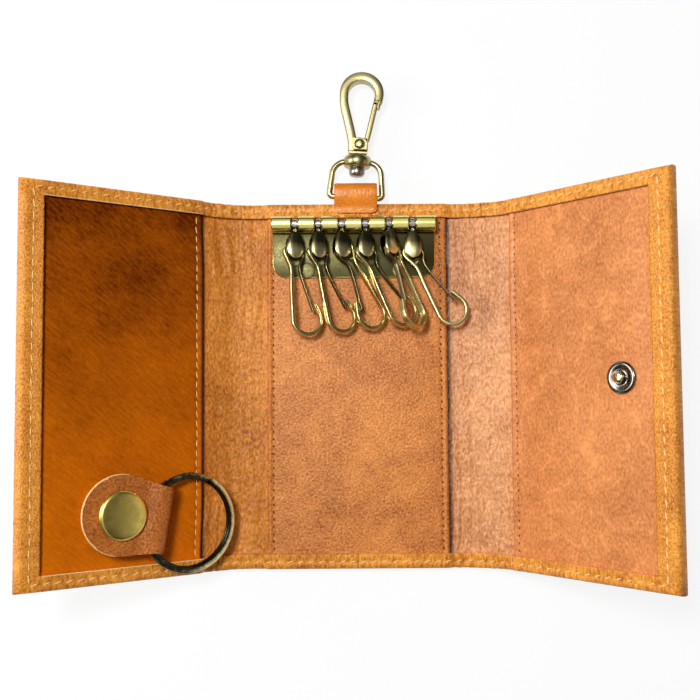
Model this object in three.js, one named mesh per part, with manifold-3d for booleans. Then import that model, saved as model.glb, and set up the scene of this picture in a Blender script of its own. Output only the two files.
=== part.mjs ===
// A three-fold leather key case, lying open on its back: a centre panel with a row of six swivel
// key hooks, two flaps with slip pockets, a snap hook on a leather tab and a snapped key loop.
// Millimetres. +X is right, +Y points to the snap hook, +Z is up, out of the open case.
// The origin is the middle of the centre panel's back face.
import * as THREE from "three";
import { mergeVertices } from "three/addons/utils/BufferGeometryUtils.js";
import Module from "manifold-3d";

// Leather sheets, from the back face up
const CASE_HEIGHT = 100;
const SHELL_THICK = 1.2;
const LINER_THICK = 0.7;
const PANEL_THICK = 1.0;
const HEM_THICK = 1.0;
const PLY_GAP = 0.1;
const HEM_WIDTH = 4;
const SIDE_HEM_WIDTH = 5.5;
const EDGE_WALL = 1.2;

// Widths of the flat case, and where it folds
const CENTRE_PANEL_WIDTH = 49.5;
const LEFT_SPINE_WIDTH = 18;
const RIGHT_SPINE_WIDTH = 17;
const FLAP_WIDTH = 48.5;
const FIRST_FOLD = 3.75;
const LEFT_FOLD_TO_POCKET = 8;
const RIGHT_FOLD_TO_POCKET = 1.5;
const FOLD_GAP = 0.2;
const FOLD_LIFT = 0.05;

// How far each fold stands up in the open case, in degrees
const LEFT_SPINE_TILT = 10;
const LEFT_FLAP_TILT = 25.2;
const RIGHT_SPINE_TILT = 15.6;
const RIGHT_FLAP_TILT = 33.4;

// Key row: a plate rolled into a slotted barrel round a rod, and its two rivets
const ROW_WIDTH = 45;
const ROW_X = -0.8;
const ROW_FROM_TOP = 6;
const ROW_PLATE_THICK = 0.6;
const ROW_PLATE_DROP = 14.7;
const ROW_PLATE_CORNER = 4.3;
const BARREL_RADIUS = 2.3;
const ROD_RADIUS = 0.75;
const ROD_CLEARANCE = 0.08;
const HOOK_PITCH = 6.45;
const SLOT_WIDTH = 1.95;
const ROW_RIVET_SPREAD = 25.8;
const ROW_RIVET_DROP = 12.6;
const ROW_RIVET_RADIUS = 1.1;
const ROW_RIVET_HEAD_RADIUS = 2.2;
const ROW_RIVET_HEAD_THICK = 0.4;

// Key hooks: lean of the loop in its head, lift off the panel and turn about the stem, left to right,
// in degrees. The third and the fifth hook hang the other way round.
const HOOK_LEAN = [9.3, 18.7, -26, 30.8, -26, 30.9];
const HOOK_LIFT = [6, 8.5, 10, 11, 21, 5];
const HOOK_TURN = [18, 22, 202, 20, 220.8, 3];
const STEM_EYE_RADIUS = 1.55;
const STEM_EYE_WIDTH = 1.4;
const STEM_SHANK_RADIUS = 0.6;
const STEM_KNOB_RADIUS = 0.9;
const STEM_KNOB_THICK = 0.8;
const STEM_LENGTH = 3.7;
const HEAD_WIDTH = 4.6;
const HEAD_LENGTH = 7.1;
const HEAD_THICK = 2.8;
const HEAD_SLOT = 2;
const HEAD_ABOVE_KNOB = 1.3;
const HEAD_MOUTH = 2.4;
const HEAD_CROWN_RADIUS = 1.85;
const HEAD_WIDEST_AT = 5.2;
const HEAD_TOE_HALF = 0.6;
const HEAD_TOE_RISE = 0.25;
const SPRING_X = 0.3;
const SPRING_Y = -3.3;
const LOOP_RADIUS = 3.95;
const LOOP_LENGTH = 23.85;
const LOOP_LEG_ANGLE = 171.5;
const LOOP_TIP_ANGLE = 379;
const LOOP_STRIP_THICK = 0.8;
const LOOP_STRIP_WIDTH = 1.8;
const GATE_STRIP_THICK = 0.5;
const GATE_STRIP_WIDTH = 1.5;
const GATE_PIVOT_X = 1.3;
const GATE_PIVOT_Y = -0.2;
const LOOP_TIP_X = 2.7;
const LOOP_TIP_RISE = 4.25;
const LOOP_ROOT_X = [-1, -2.1, -3, -3.25, -2.45, -2.2, -2.9];
const LOOP_ROOT_Y = [0.6, 0.95, 0.3, -1, -3.8, -5.8, -10.5];
const GATE_BEND_X = [1.45, -0.05];
const GATE_BEND_Y = [-2.6, -6.3];
const GATE_END_X = 2.07;
const GATE_END_RISE = 2.1;

// Leather tab and swivel eye at the top edge
const TAB_WIDTH = 11.8;
const TAB_THICK = 1.1;
const TAB_REACH = 5.6;
const TAB_OVERLAP = 2.6;
const EYE_X = -0.15;
const EYE_BAR_OUT = 1.6;
const EYE_BAR_Z = 4.2;
const EYE_LEAN = 3.2;
const EYE_WIDTH = 16.2;
const EYE_HEIGHT = 9.9;
const EYE_WIRE = 1.6;
const EYE_LOW_CORNER = 1.9;
const EYE_HIGH_CORNER = 4.6;
const EYE_SHOULDER_IN = 0.5;
const TAB_EYE_GAP = 0.35;
const COLLAR_RADIUS = 3.9;
const COLLAR_THICK = 3.3;
const COLLAR_EASE = 0.5;
const STUD_RADIUS = 1.7;
const STUD_HEAD_RADIUS = 2.2;
const STUD_HEAD_THICK = 2.3;
const STUD_HEAD_GAP = 0.15;
const COLLAR_TOP_GAP = 0.2;
const RUNNING_GAP = 0.08;

// Snap hook above the swivel
const SNAP_BASE_WIDTH = 5.4;
const SNAP_BASE_LENGTH = 4.7;
const SNAP_BASE_THICK = 3.8;
const SNAP_BAR = 2.4;
const SNAP_THICK = 2.8;
const SNAP_LOOP_RADIUS = 4.9;
const SNAP_LOOP_RISE = 17.1;
const SNAP_LOOP_X = 0.3;
const SNAP_STUD_DEPTH = 1;
const SNAP_BASE_EASE = 0.7;
const SNAP_PIVOT_X = 0.4;
const SNAP_PIVOT_RISE = 2.9;
const SNAP_GATE_BAR = 1.5;
const SNAP_GATE_THICK = 1.4;
const SNAP_GATE_ROOT = 1.4;
const CLEVIS_DROP = 1.9;
const LEAF_SPRING_THICK = 0.3;
const SNAP_PIN_RADIUS = 0.7;
const SNAP_PIN_HEAD = 1.4;
const SNAP_PIN_HEAD_THICK = 0.5;
const SNAP_NOSE_GAP = 0.25;

// Key loop on the left flap: a strap folded round the split ring and snapped shut
const KEY_LOOP_OUT = 24.3;
const KEY_LOOP_FROM_BOTTOM = 17.5;
const KEY_LOOP_TURN = 10;
const STRAP_THICK = 1.2;
const STRAP_END_RADIUS = 10.1;
const STRAP_LOWER_RADIUS = 8.2;
const STRAP_FOLD_HALF = 7.7;
const STRAP_FOLD_AT = 10;
const STRAP_FOLD_RADIUS = 2.2;
const STRAP_SNAP_GAP = 3.25;
const STRAP_NECK = 1.5;
const STRAP_FOLD_SLIT = 2;
const CAP_RADIUS = 6.25;
const CAP_THICK = 1.6;
const SNAP_SOCKET_RADIUS = 4.6;
const SNAP_STUD_RADIUS = 1.6;
const SNAP_SOCKET_THICK = 1.2;
const SNAP_PLAY = 0.2;
const RIVET_SHANK_RADIUS = 1.3;
const RIVET_FLANGE_RADIUS = 3.2;
const RIVET_FLANGE_THICK = 0.5;

// Split ring: one wire wound twice, with the step between its turns
const RING_RADIUS = 12.95;
const RING_BAND = 1.8;
const RING_WIRE = 0.7;
const RING_TURN_GAP = 0.45;
const RING_AT = 19.4;
const RING_STEP_DEG = 60;
const RING_TURN_STEPS = 36;
const RING_SEAM_DEG = 100;
const RING_SWING_IN = 2.4;

// Closure snap: stud inside the right flap, socket outside the left flap
const CLOSURE_OUT = 34;
const CLOSURE_Y = 0.4;
const CLOSURE_BASE_RADIUS = 4;
const CLOSURE_BASE_THICK = 0.8;
const CLOSURE_POST_RADIUS = 1.5;
const CLOSURE_POST_RISE = 1.45;
const CLOSURE_SOCKET_RADIUS = 5;
const CLOSURE_SOCKET_THICK = 1.4;
const CLOSURE_CAP_RADIUS = 5;
const CLOSURE_CAP_THICK = 1.4;
const CLOSURE_PLAY = 0.3;

const FIT_GAP = 0.1;
const ROUND = 24;
const SMALL_ROUND = 16;

// Heights and folds worked out from the sheets
const LINER_Z = SHELL_THICK + PLY_GAP;
const PANEL_Z = LINER_Z + LINER_THICK + PLY_GAP;
const PANEL_TOP = PANEL_Z + PANEL_THICK;
const HEM_TOP = PANEL_TOP + PLY_GAP + HEM_THICK;
const SPINE_HEM_TOP = PANEL_Z + HEM_THICK;
const FOLD_Z = HEM_TOP + FOLD_LIFT;
const HALF_HEIGHT = CASE_HEIGHT / 2;
const PLY_HALF = HALF_HEIGHT - EDGE_WALL - PLY_GAP;
const FOLD_X = CENTRE_PANEL_WIDTH / 2 + FIRST_FOLD;
const ROW_ROD_Y = HALF_HEIGHT - ROW_FROM_TOP;
const KEY_LOOP_Y = -HALF_HEIGHT + KEY_LOOP_FROM_BOTTOM;

const wasm = await Module();
wasm.setup();

function rad(degrees) {
  return THREE.MathUtils.degToRad(degrees);
}

// Finishes
function finish(color, roughness, metalness) {
  return new THREE.MeshStandardMaterial({ color, roughness, metalness });
}
const tanLeather = finish(0xb8651f, 0.55, 0);
const amberLeather = finish(0x9a4e12, 0.5, 0);
const linerLeather = finish(0xa8602a, 0.6, 0);
const strapLeather = finish(0x8f4a1c, 0.6, 0);
const antiqueBrass = finish(0x8a7a3e, 0.35, 1);
const darkBronze = finish(0x4a4230, 0.35, 1);
const brightSteel = finish(0xb9b6b0, 0.25, 1);
const gunmetal = finish(0x3a342e, 0.25, 1);

// Joins and cuts closed geometries
function toSolid(geometry) {
  const bare = geometry.clone();
  bare.deleteAttribute("normal");
  bare.deleteAttribute("uv");
  const merged = mergeVertices(bare, 1e-4);
  return new wasm.Manifold(
    new wasm.Mesh({
      numProp: 3,
      vertProperties: new Float32Array(merged.attributes.position.array),
      triVerts: new Uint32Array(merged.index.array),
    }),
  );
}

function toGeometry(solid) {
  const made = solid.getMesh();
  const geometry = new THREE.BufferGeometry();
  geometry.setAttribute("position", new THREE.BufferAttribute(made.vertProperties, 3));
  geometry.setIndex(new THREE.BufferAttribute(made.triVerts, 1));
  return geometry;
}

function cut(geometry, ...cutters) {
  return toGeometry(cutters.reduce((rest, cutter) => rest.subtract(toSolid(cutter)), toSolid(geometry)));
}

function join(geometry, ...others) {
  return toGeometry(others.reduce((sum, other) => sum.add(toSolid(other)), toSolid(geometry)));
}

function common(geometry, other) {
  return toGeometry(toSolid(geometry).intersect(toSolid(other)));
}

// A box between two corners
function box(x0, x1, y0, y1, z0, z1) {
  const geometry = new THREE.BoxGeometry(x1 - x0, y1 - y0, z1 - z0);
  return geometry.translate((x0 + x1) / 2, (y0 + y1) / 2, (z0 + z1) / 2);
}

// A turned piece about Z from [radius, height] pairs, listed upwards along its outside
function turned(profile, sides = ROUND) {
  const points = profile.map(([radius, height]) => new THREE.Vector2(radius, height));
  return new THREE.LatheGeometry(points, sides).rotateX(Math.PI / 2);
}

// A round bar about Z
function bar(radius, z0, z1, sides = ROUND) {
  return turned([[0, z0], [radius, z0], [radius, z1], [0, z1]], sides);
}

// A round bar along X or along Y
function barX(radius, x0, x1, sides = ROUND) {
  return bar(radius, x0, x1, sides).rotateY(Math.PI / 2);
}
function barY(radius, y0, y1, sides = ROUND) {
  return bar(radius, -y1, -y0, sides).rotateX(Math.PI / 2);
}

// A flat outline in XY, thickened about z = 0
function plate(outline, thick) {
  const shape = new THREE.Shape(outline);
  const geometry = new THREE.ExtrudeGeometry(shape, { depth: thick, bevelEnabled: false });
  return geometry.translate(0, 0, -thick / 2);
}

// A strip of one thickness that follows a path in XY, and is as wide as depth across Z
function strip(path, thick, depth) {
  const half = thick / 2;
  const left = [];
  const right = [];
  path.forEach((point, i) => {
    const before = path[Math.max(0, i - 1)];
    const after = path[Math.min(path.length - 1, i + 1)];
    const along = after.clone().sub(before).normalize();
    const across = new THREE.Vector2(-along.y, along.x).multiplyScalar(half);
    left.push(point.clone().add(across));
    right.unshift(point.clone().sub(across));
  });
  return plate([...right, ...left], depth);
}

function at(x, y) {
  return new THREE.Vector2(x, y);
}

// Points on a circle's arc between two angles in degrees
function arc(cx, cy, radius, from, to, steps) {
  return Array.from({ length: steps + 1 }, (_, i) => {
    const angle = rad(from + ((to - from) * i) / steps);
    return at(cx + radius * Math.cos(angle), cy + radius * Math.sin(angle));
  });
}

// Turns a profile drawn as (along, up) in XY so that it lies across the piece
function standAcross(geometry) {
  return geometry.rotateX(Math.PI / 2);
}

const group = new THREE.Group();
group.name = "key_case";

function addMesh(parent, name, geometry, material) {
  const mesh = new THREE.Mesh(geometry, material);
  mesh.name = name;
  parent.add(mesh);
  return mesh;
}

function addGroup(parent, name, x, y, z) {
  const child = new THREE.Group();
  child.name = name;
  child.position.set(x, y, z);
  parent.add(child);
  return child;
}

// Outer leather between x0 and x1, with its top and bottom edges turned in over the sheets.
// A closed end at x1 is turned in as well.
function turnedShell(x0, x1, hemTop, closed) {
  const ply = hemTop - HEM_THICK;
  const inner = closed ? x1 - EDGE_WALL : x1 + 1;
  const window = closed ? x1 - SIDE_HEM_WIDTH : x1 + 1;
  const hemInner = HALF_HEIGHT - HEM_WIDTH;
  const wallInner = HALF_HEIGHT - EDGE_WALL;
  return cut(
    box(x0, x1, -HALF_HEIGHT, HALF_HEIGHT, 0, hemTop),
    box(x0 - 1, inner, -wallInner, wallInner, SHELL_THICK, ply),
    box(x0 - 1, window, -hemInner, hemInner, SHELL_THICK, hemTop + 1),
  );
}

// Holes for rivets, given as [x, y, radius], right through a sheet
function drilled(geometry, holes) {
  if (holes.length === 0) return geometry;
  const bores = holes.map(([x, y, radius]) => bar(radius, -1, HEM_TOP + 1, SMALL_ROUND).translate(x, y, 0));
  return cut(geometry, ...bores);
}

// Centre of the case
const rowRivets = [-1, 1].map((side) => [
  ROW_X + (side * ROW_RIVET_SPREAD) / 2,
  ROW_ROD_Y - ROW_RIVET_DROP,
]);
const shankHoles = rowRivets.map(([x, y]) => [x, y, ROW_RIVET_RADIUS + FIT_GAP]);
const flangeHoles = rowRivets.map(([x, y]) => [x, y, ROW_RIVET_HEAD_RADIUS + FIT_GAP]);
const centreEdge = FOLD_X - FOLD_GAP / 2;
addMesh(
  group,
  "centre_shell",
  turnedShell(-centreEdge, centreEdge, HEM_TOP, false),
  tanLeather,
);
addMesh(
  group,
  "centre_liner",
  drilled(box(-centreEdge, centreEdge, -PLY_HALF, PLY_HALF, LINER_Z, LINER_Z + LINER_THICK), flangeHoles),
  linerLeather,
);
const panelEdge = CENTRE_PANEL_WIDTH / 2;
addMesh(
  group,
  "centre_panel",
  drilled(box(-panelEdge, panelEdge, -PLY_HALF, PLY_HALF, PANEL_Z, PANEL_TOP), shankHoles),
  tanLeather,
);

// Closure snap places, measured from each flap's own fold line: shut, both lie on one axis
const closureFromRightFold = RIGHT_FOLD_TO_POCKET + CLOSURE_OUT;
const closureFromLeftFold = 2 * FOLD_X - closureFromRightFold;

// A spine strip and its flap, on one side of the centre. Inside each group x runs outwards from its
// fold line, and side is -1 on the left and 1 on the right.
function addSide(word, side, [spineWidth, toPocket], [spineTilt, flapTilt], holes, leather) {
  const [shellHoles, linerHoles, panelHoles] = holes;
  const spineLength = spineWidth - FIRST_FOLD - toPocket;
  const flapLength = toPocket + FLAP_WIDTH;
  const mirrored = (geometry) => (side < 0 ? geometry.rotateZ(Math.PI) : geometry);
  const gap = FOLD_GAP / 2;

  const spine = addGroup(group, word + "_spine_fold", side * FOLD_X, 0, FOLD_Z);
  spine.rotation.y = -side * rad(spineTilt);
  addMesh(
    spine,
    word + "_spine_shell",
    mirrored(turnedShell(gap, spineLength - gap, SPINE_HEM_TOP, false)).translate(0, 0, -FOLD_Z),
    tanLeather,
  );
  addMesh(
    spine,
    word + "_spine_liner",
    mirrored(box(gap, spineLength - gap, -PLY_HALF, PLY_HALF, LINER_Z, LINER_Z + LINER_THICK)).translate(
      0,
      0,
      -FOLD_Z,
    ),
    linerLeather,
  );

  const flap = addGroup(spine, word + "_flap_fold", side * spineLength, 0, 0);
  flap.rotation.y = -side * rad(flapTilt);
  const plyEnd = flapLength - EDGE_WALL - PLY_GAP;
  addMesh(
    flap,
    word + "_flap_shell",
    mirrored(drilled(turnedShell(gap, flapLength, HEM_TOP, true), shellHoles)).translate(0, 0, -FOLD_Z),
    tanLeather,
  );
  addMesh(
    flap,
    word + "_flap_liner",
    mirrored(
      drilled(box(gap, plyEnd, -PLY_HALF, PLY_HALF, LINER_Z, LINER_Z + LINER_THICK), linerHoles),
    ).translate(0, 0, -FOLD_Z),
    linerLeather,
  );
  addMesh(
    flap,
    word + "_pocket_panel",
    mirrored(
      drilled(box(toPocket, plyEnd, -PLY_HALF, PLY_HALF, PANEL_Z, PANEL_TOP), panelHoles),
    ).translate(0, 0, -FOLD_Z),
    leather,
  );
  return flap;
}

// Rivet holes in the flaps. The left flap's own x runs the other way, so its y is turned round too.
const rivetHole = RIVET_SHANK_RADIUS + FIT_GAP;
const flangeHole = RIVET_FLANGE_RADIUS + FIT_GAP;
const loopFromFold = LEFT_FOLD_TO_POCKET + KEY_LOOP_OUT;
const leftFlap = addSide(
  "left",
  -1,
  [LEFT_SPINE_WIDTH, LEFT_FOLD_TO_POCKET],
  [LEFT_SPINE_TILT, LEFT_FLAP_TILT],
  [
    [[closureFromLeftFold, -CLOSURE_Y, rivetHole]],
    [
      [closureFromLeftFold, -CLOSURE_Y, flangeHole],
      [loopFromFold, -KEY_LOOP_Y, flangeHole],
    ],
    [[loopFromFold, -KEY_LOOP_Y, rivetHole]],
  ],
  amberLeather,
);
const closureHoles = [[closureFromRightFold, CLOSURE_Y, rivetHole]];
const rightFlap = addSide(
  "right",
  1,
  [RIGHT_SPINE_WIDTH, RIGHT_FOLD_TO_POCKET],
  [RIGHT_SPINE_TILT, RIGHT_FLAP_TILT],
  [closureHoles, closureHoles, closureHoles],
  tanLeather,
);

// Key row plate and barrel, in its own group on the centre panel
const rowZ = PANEL_TOP + PLY_GAP;
const row = addGroup(group, "key_row", ROW_X, ROW_ROD_Y, rowZ);
const halfRow = ROW_WIDTH / 2;
const hookXs = HOOK_LEAN.map((_, i) => (i - (HOOK_LEAN.length - 1) / 2) * HOOK_PITCH);
const plateOutline = [
  at(halfRow, 0),
  at(-halfRow, 0),
  ...arc(-halfRow + ROW_PLATE_CORNER, -ROW_PLATE_DROP + ROW_PLATE_CORNER, ROW_PLATE_CORNER, 180, 270, 5),
  ...arc(halfRow - ROW_PLATE_CORNER, -ROW_PLATE_DROP + ROW_PLATE_CORNER, ROW_PLATE_CORNER, 270, 360, 5),
];
const rowBase = plate(plateOutline, ROW_PLATE_THICK).translate(0, 0, ROW_PLATE_THICK / 2);
const rowBarrel = barX(BARREL_RADIUS, -halfRow, halfRow).translate(0, 0, BARREL_RADIUS);
const rodBore = barX(ROD_RADIUS + ROD_CLEARANCE, -halfRow - 1, halfRow + 1, SMALL_ROUND);
rodBore.translate(0, 0, BARREL_RADIUS);
const slotReach = BARREL_RADIUS + 1;
const barrelSlots = hookXs.map((x) =>
  box(
    x - SLOT_WIDTH / 2,
    x + SLOT_WIDTH / 2,
    -slotReach,
    slotReach,
    ROW_PLATE_THICK + FIT_GAP / 2,
    2 * BARREL_RADIUS + 1,
  ),
);
const rivetBores = shankHoles.map(([x, y, radius]) =>
  bar(radius, -1, ROW_PLATE_THICK + 1, SMALL_ROUND).translate(x - ROW_X, y - ROW_ROD_Y, 0),
);
addMesh(
  row,
  "key_row_plate",
  cut(join(rowBase, rowBarrel), rodBore, ...barrelSlots, ...rivetBores),
  antiqueBrass,
);
addMesh(
  row,
  "key_row_rod",
  barX(ROD_RADIUS, -halfRow, halfRow, SMALL_ROUND).translate(0, 0, BARREL_RADIUS),
  brightSteel,
);
const rowHeadZ = rowZ + ROW_PLATE_THICK + FIT_GAP / 2;
rowRivets.forEach(([x, y], i) => {
  const flangeTop = PANEL_Z - FIT_GAP / 2;
  const flangeBottom = flangeTop - RIVET_FLANGE_THICK;
  const rivet = turned(
    [
      [0, flangeBottom],
      [ROW_RIVET_HEAD_RADIUS, flangeBottom],
      [ROW_RIVET_HEAD_RADIUS, flangeTop],
      [ROW_RIVET_RADIUS, flangeTop],
      [ROW_RIVET_RADIUS, rowHeadZ],
      [ROW_RIVET_HEAD_RADIUS, rowHeadZ],
      [ROW_RIVET_HEAD_RADIUS - ROW_RIVET_HEAD_THICK, rowHeadZ + ROW_RIVET_HEAD_THICK],
      [0, rowHeadZ + ROW_RIVET_HEAD_THICK],
    ],
    SMALL_ROUND,
  );
  addMesh(group, "key_row_rivet_" + (i + 1), rivet.translate(x, y, 0), antiqueBrass);
});

// One key hook. The stem's eye runs on the rod, and the head turns on the stem's knob. In the head's
// own frame the knob is the origin and the head hangs along -Y. The loop and its gate lean in the head.
const headTop = HEAD_ABOVE_KNOB;
const headBottom = headTop - HEAD_LENGTH;
const headHalf = HEAD_WIDTH / 2;
const headOutline = [
  ...arc(0, headTop - HEAD_CROWN_RADIUS, HEAD_CROWN_RADIUS, 15, 165, 6),
  at(-headHalf, headTop - HEAD_WIDEST_AT),
  at(-HEAD_TOE_HALF, headBottom + HEAD_TOE_RISE),
  at(0, headBottom),
  at(HEAD_TOE_HALF, headBottom + HEAD_TOE_RISE),
  at(headHalf, headTop - HEAD_WIDEST_AT),
];
const slotShoulder = -STEM_KNOB_THICK / 2 - FIT_GAP;
const headSlot = [
  at(-HEAD_MOUTH / 2, headTop + 1),
  at(-HEAD_MOUTH / 2, slotShoulder),
  at(-HEAD_WIDTH, slotShoulder - 1),
  at(-HEAD_WIDTH, headBottom - 1),
  at(HEAD_WIDTH, headBottom - 1),
  at(HEAD_WIDTH, slotShoulder - 1),
  at(HEAD_MOUTH / 2, slotShoulder),
  at(HEAD_MOUTH / 2, headTop + 1),
];
const loopCentreY = -LOOP_LENGTH + LOOP_RADIUS;
const loopBow = arc(0, loopCentreY, LOOP_RADIUS, LOOP_LEG_ANGLE, LOOP_TIP_ANGLE, 14);
const loopRun = new THREE.SplineCurve([
  ...LOOP_ROOT_X.map((x, i) => at(x, LOOP_ROOT_Y[i])),
  loopBow[0],
]).getPoints(18);
const loopPath = [...loopRun, ...loopBow.slice(1), at(LOOP_TIP_X, loopCentreY + LOOP_TIP_RISE)];
const gatePath = [
  at(GATE_PIVOT_X, GATE_PIVOT_Y),
  ...GATE_BEND_X.map((x, i) => at(x, GATE_BEND_Y[i])),
  at(GATE_END_X, loopCentreY + GATE_END_RISE),
];
const stemEye = join(
  barX(STEM_EYE_RADIUS, -STEM_EYE_WIDTH / 2, STEM_EYE_WIDTH / 2, SMALL_ROUND),
  barY(STEM_SHANK_RADIUS, -STEM_LENGTH, -ROD_RADIUS - 0.4, 12),
  barY(STEM_KNOB_RADIUS, -STEM_LENGTH - STEM_KNOB_THICK / 2, -STEM_LENGTH + STEM_KNOB_THICK / 2, 12),
);
const stemGeometry = cut(
  stemEye,
  barX(ROD_RADIUS + ROD_CLEARANCE, -STEM_EYE_WIDTH, STEM_EYE_WIDTH, SMALL_ROUND),
);
const headGeometry = cut(plate(headOutline, HEAD_THICK), plate(headSlot, HEAD_SLOT));
const loopGeometry = strip(loopPath, LOOP_STRIP_THICK, LOOP_STRIP_WIDTH);
const gateGeometry = strip(gatePath, GATE_STRIP_THICK, GATE_STRIP_WIDTH);
gateGeometry.translate(-GATE_PIVOT_X, -GATE_PIVOT_Y, 0);

hookXs.forEach((x, i) => {
  const word = "hook_" + (i + 1);
  const swing = addGroup(row, word + "_swing", x, 0, BARREL_RADIUS);
  swing.rotation.x = -rad(HOOK_LIFT[i]);
  addMesh(swing, word + "_stem", stemGeometry, brightSteel);
  const swivel = addGroup(swing, word + "_swivel", 0, -STEM_LENGTH, 0);
  swivel.rotation.y = rad(HOOK_TURN[i]);
  addMesh(swivel, word + "_head", headGeometry, antiqueBrass);
  const spring = addGroup(swivel, "", SPRING_X, SPRING_Y, 0);
  spring.rotation.z = rad(HOOK_LEAN[i]);
  addMesh(spring, word + "_loop", loopGeometry, antiqueBrass);
  const gate = addGroup(spring, word + "_gate_turn", GATE_PIVOT_X, GATE_PIVOT_Y, 0);
  addMesh(gate, word + "_gate", gateGeometry, antiqueBrass);
});

// Leather tab, folded round the swivel eye's bar and sewn over the top hem
const barY0 = HALF_HEIGHT + EYE_BAR_OUT;
const tabHalf = TAB_THICK / 2;
const tabLoopRadius = EYE_WIRE / 2 + TAB_EYE_GAP + tabHalf;
const tabEnd = HALF_HEIGHT + TAB_REACH - tabLoopRadius - tabHalf;
const tabTopZ = HEM_TOP + PLY_GAP + tabHalf;
const tabPath = [
  at(HALF_HEIGHT - TAB_OVERLAP, tabTopZ),
  at(HALF_HEIGHT - 1, tabTopZ + 0.05),
  at(barY0 - 0.9, EYE_BAR_Z + tabLoopRadius - 0.05),
  ...arc(tabEnd, EYE_BAR_Z, tabLoopRadius, 90, -90, 8),
  at(barY0 - 0.4, EYE_BAR_Z - tabLoopRadius),
  at(HALF_HEIGHT + FIT_GAP, EYE_BAR_Z - tabLoopRadius),
];
addMesh(
  group,
  "hook_tab",
  standAcross(strip(tabPath, TAB_THICK, TAB_WIDTH))
    .rotateZ(Math.PI / 2)
    .translate(EYE_X, 0, 0),
  tanLeather,
);

// Swivel eye: a D of wire with a bored collar, in a group whose X axis is the wire in the tab
const eye = addGroup(group, "eye_swing", EYE_X, barY0, EYE_BAR_Z);
eye.rotation.z = -rad(EYE_LEAN);
const wireHalf = EYE_WIRE / 2;
const wireBevel = 0.3 * EYE_WIRE;
function eyeOutline(inset) {
  const half = EYE_WIDTH / 2 - inset;
  const low = -wireHalf + inset;
  const high = EYE_HEIGHT + wireHalf - inset;
  const lowRadius = EYE_LOW_CORNER - inset;
  const highRadius = EYE_HIGH_CORNER - inset;
  const shoulder = half - EYE_SHOULDER_IN;
  return [
    ...arc(-half + lowRadius, low + lowRadius, lowRadius, 180, 270, 3),
    ...arc(half - lowRadius, low + lowRadius, lowRadius, 270, 360, 3),
    ...arc(shoulder - highRadius, high - highRadius, highRadius, 0, 90, 5),
    ...arc(-shoulder + highRadius, high - highRadius, highRadius, 90, 180, 5),
  ];
}
const eyeShape = new THREE.Shape(eyeOutline(wireBevel));
eyeShape.holes.push(new THREE.Path(eyeOutline(EYE_WIRE - wireBevel)));
const eyeWire = new THREE.ExtrudeGeometry(eyeShape, {
  depth: EYE_WIRE - 2 * wireBevel,
  bevelThickness: wireBevel,
  bevelSize: wireBevel,
  bevelSegments: 1,
}).translate(0, 0, -wireHalf + wireBevel);
const collarLow = EYE_HEIGHT - COLLAR_THICK / 2;
const collarHigh = EYE_HEIGHT + COLLAR_THICK / 2;
const collar = turned([
  [0, collarLow],
  [COLLAR_RADIUS - COLLAR_EASE, collarLow],
  [COLLAR_RADIUS, collarLow + COLLAR_EASE],
  [COLLAR_RADIUS, collarHigh - COLLAR_EASE],
  [COLLAR_RADIUS - COLLAR_EASE, collarHigh],
  [0, collarHigh],
]).rotateX(-Math.PI / 2);
const collarBore = barY(STUD_RADIUS + RUNNING_GAP, collarLow - 1, collarHigh + 1);
addMesh(eye, "swivel_eye", cut(join(eyeWire, collar), collarBore), antiqueBrass);

// Snap hook: cast body, its stud through the collar, and the sprung gate on its pin
const snapLow = collarHigh + COLLAR_TOP_GAP;
const snap = addGroup(eye, "snap_swivel", 0, 0, 0);
const snapHigh = snapLow + SNAP_BASE_LENGTH;
const studHeadTop = collarLow - STUD_HEAD_GAP;
const stud = join(
  barY(STUD_HEAD_RADIUS, studHeadTop - STUD_HEAD_THICK, studHeadTop),
  barY(STUD_RADIUS, studHeadTop - STUD_HEAD_GAP, snapLow + SNAP_STUD_DEPTH),
);
addMesh(snap, "swivel_stud", stud, brightSteel);

const snapTopY = snapLow + SNAP_LOOP_RISE;
const noseX = SNAP_LOOP_X + SNAP_LOOP_RADIUS;
const snapPath = [
  at(-SNAP_BASE_WIDTH / 2 + SNAP_BAR / 2, snapLow + 1),
  at(-SNAP_BASE_WIDTH / 2 + SNAP_BAR / 2 - 0.35, snapHigh),
  at(SNAP_LOOP_X - SNAP_LOOP_RADIUS + 0.25, snapTopY - 3),
  ...arc(SNAP_LOOP_X, snapTopY, SNAP_LOOP_RADIUS, 180, 0, 14),
  at(noseX - 0.15, snapTopY - 1.8),
  at(noseX - 0.6, snapTopY - 3.8),
];
const pivotY = snapLow + SNAP_PIVOT_RISE;
const gateTop = at(noseX - 0.85, snapTopY - 2.1);
const gateRun = [at(SNAP_PIVOT_X, pivotY), at(2.1, pivotY + 1.4), at(2.55, pivotY + 2.6), gateTop];
function gateShape(extra) {
  const arm = strip(gateRun, SNAP_GATE_BAR + 2 * extra, SNAP_GATE_THICK + 2 * extra);
  const half = SNAP_GATE_THICK / 2 + extra;
  const tip = bar(SNAP_GATE_BAR / 2 + extra, -half, half, SMALL_ROUND);
  const root = bar(SNAP_GATE_ROOT + extra, -half, half, SMALL_ROUND);
  return join(arm, tip.translate(gateTop.x, gateTop.y, 0), root.translate(SNAP_PIVOT_X, pivotY, 0));
}
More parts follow.
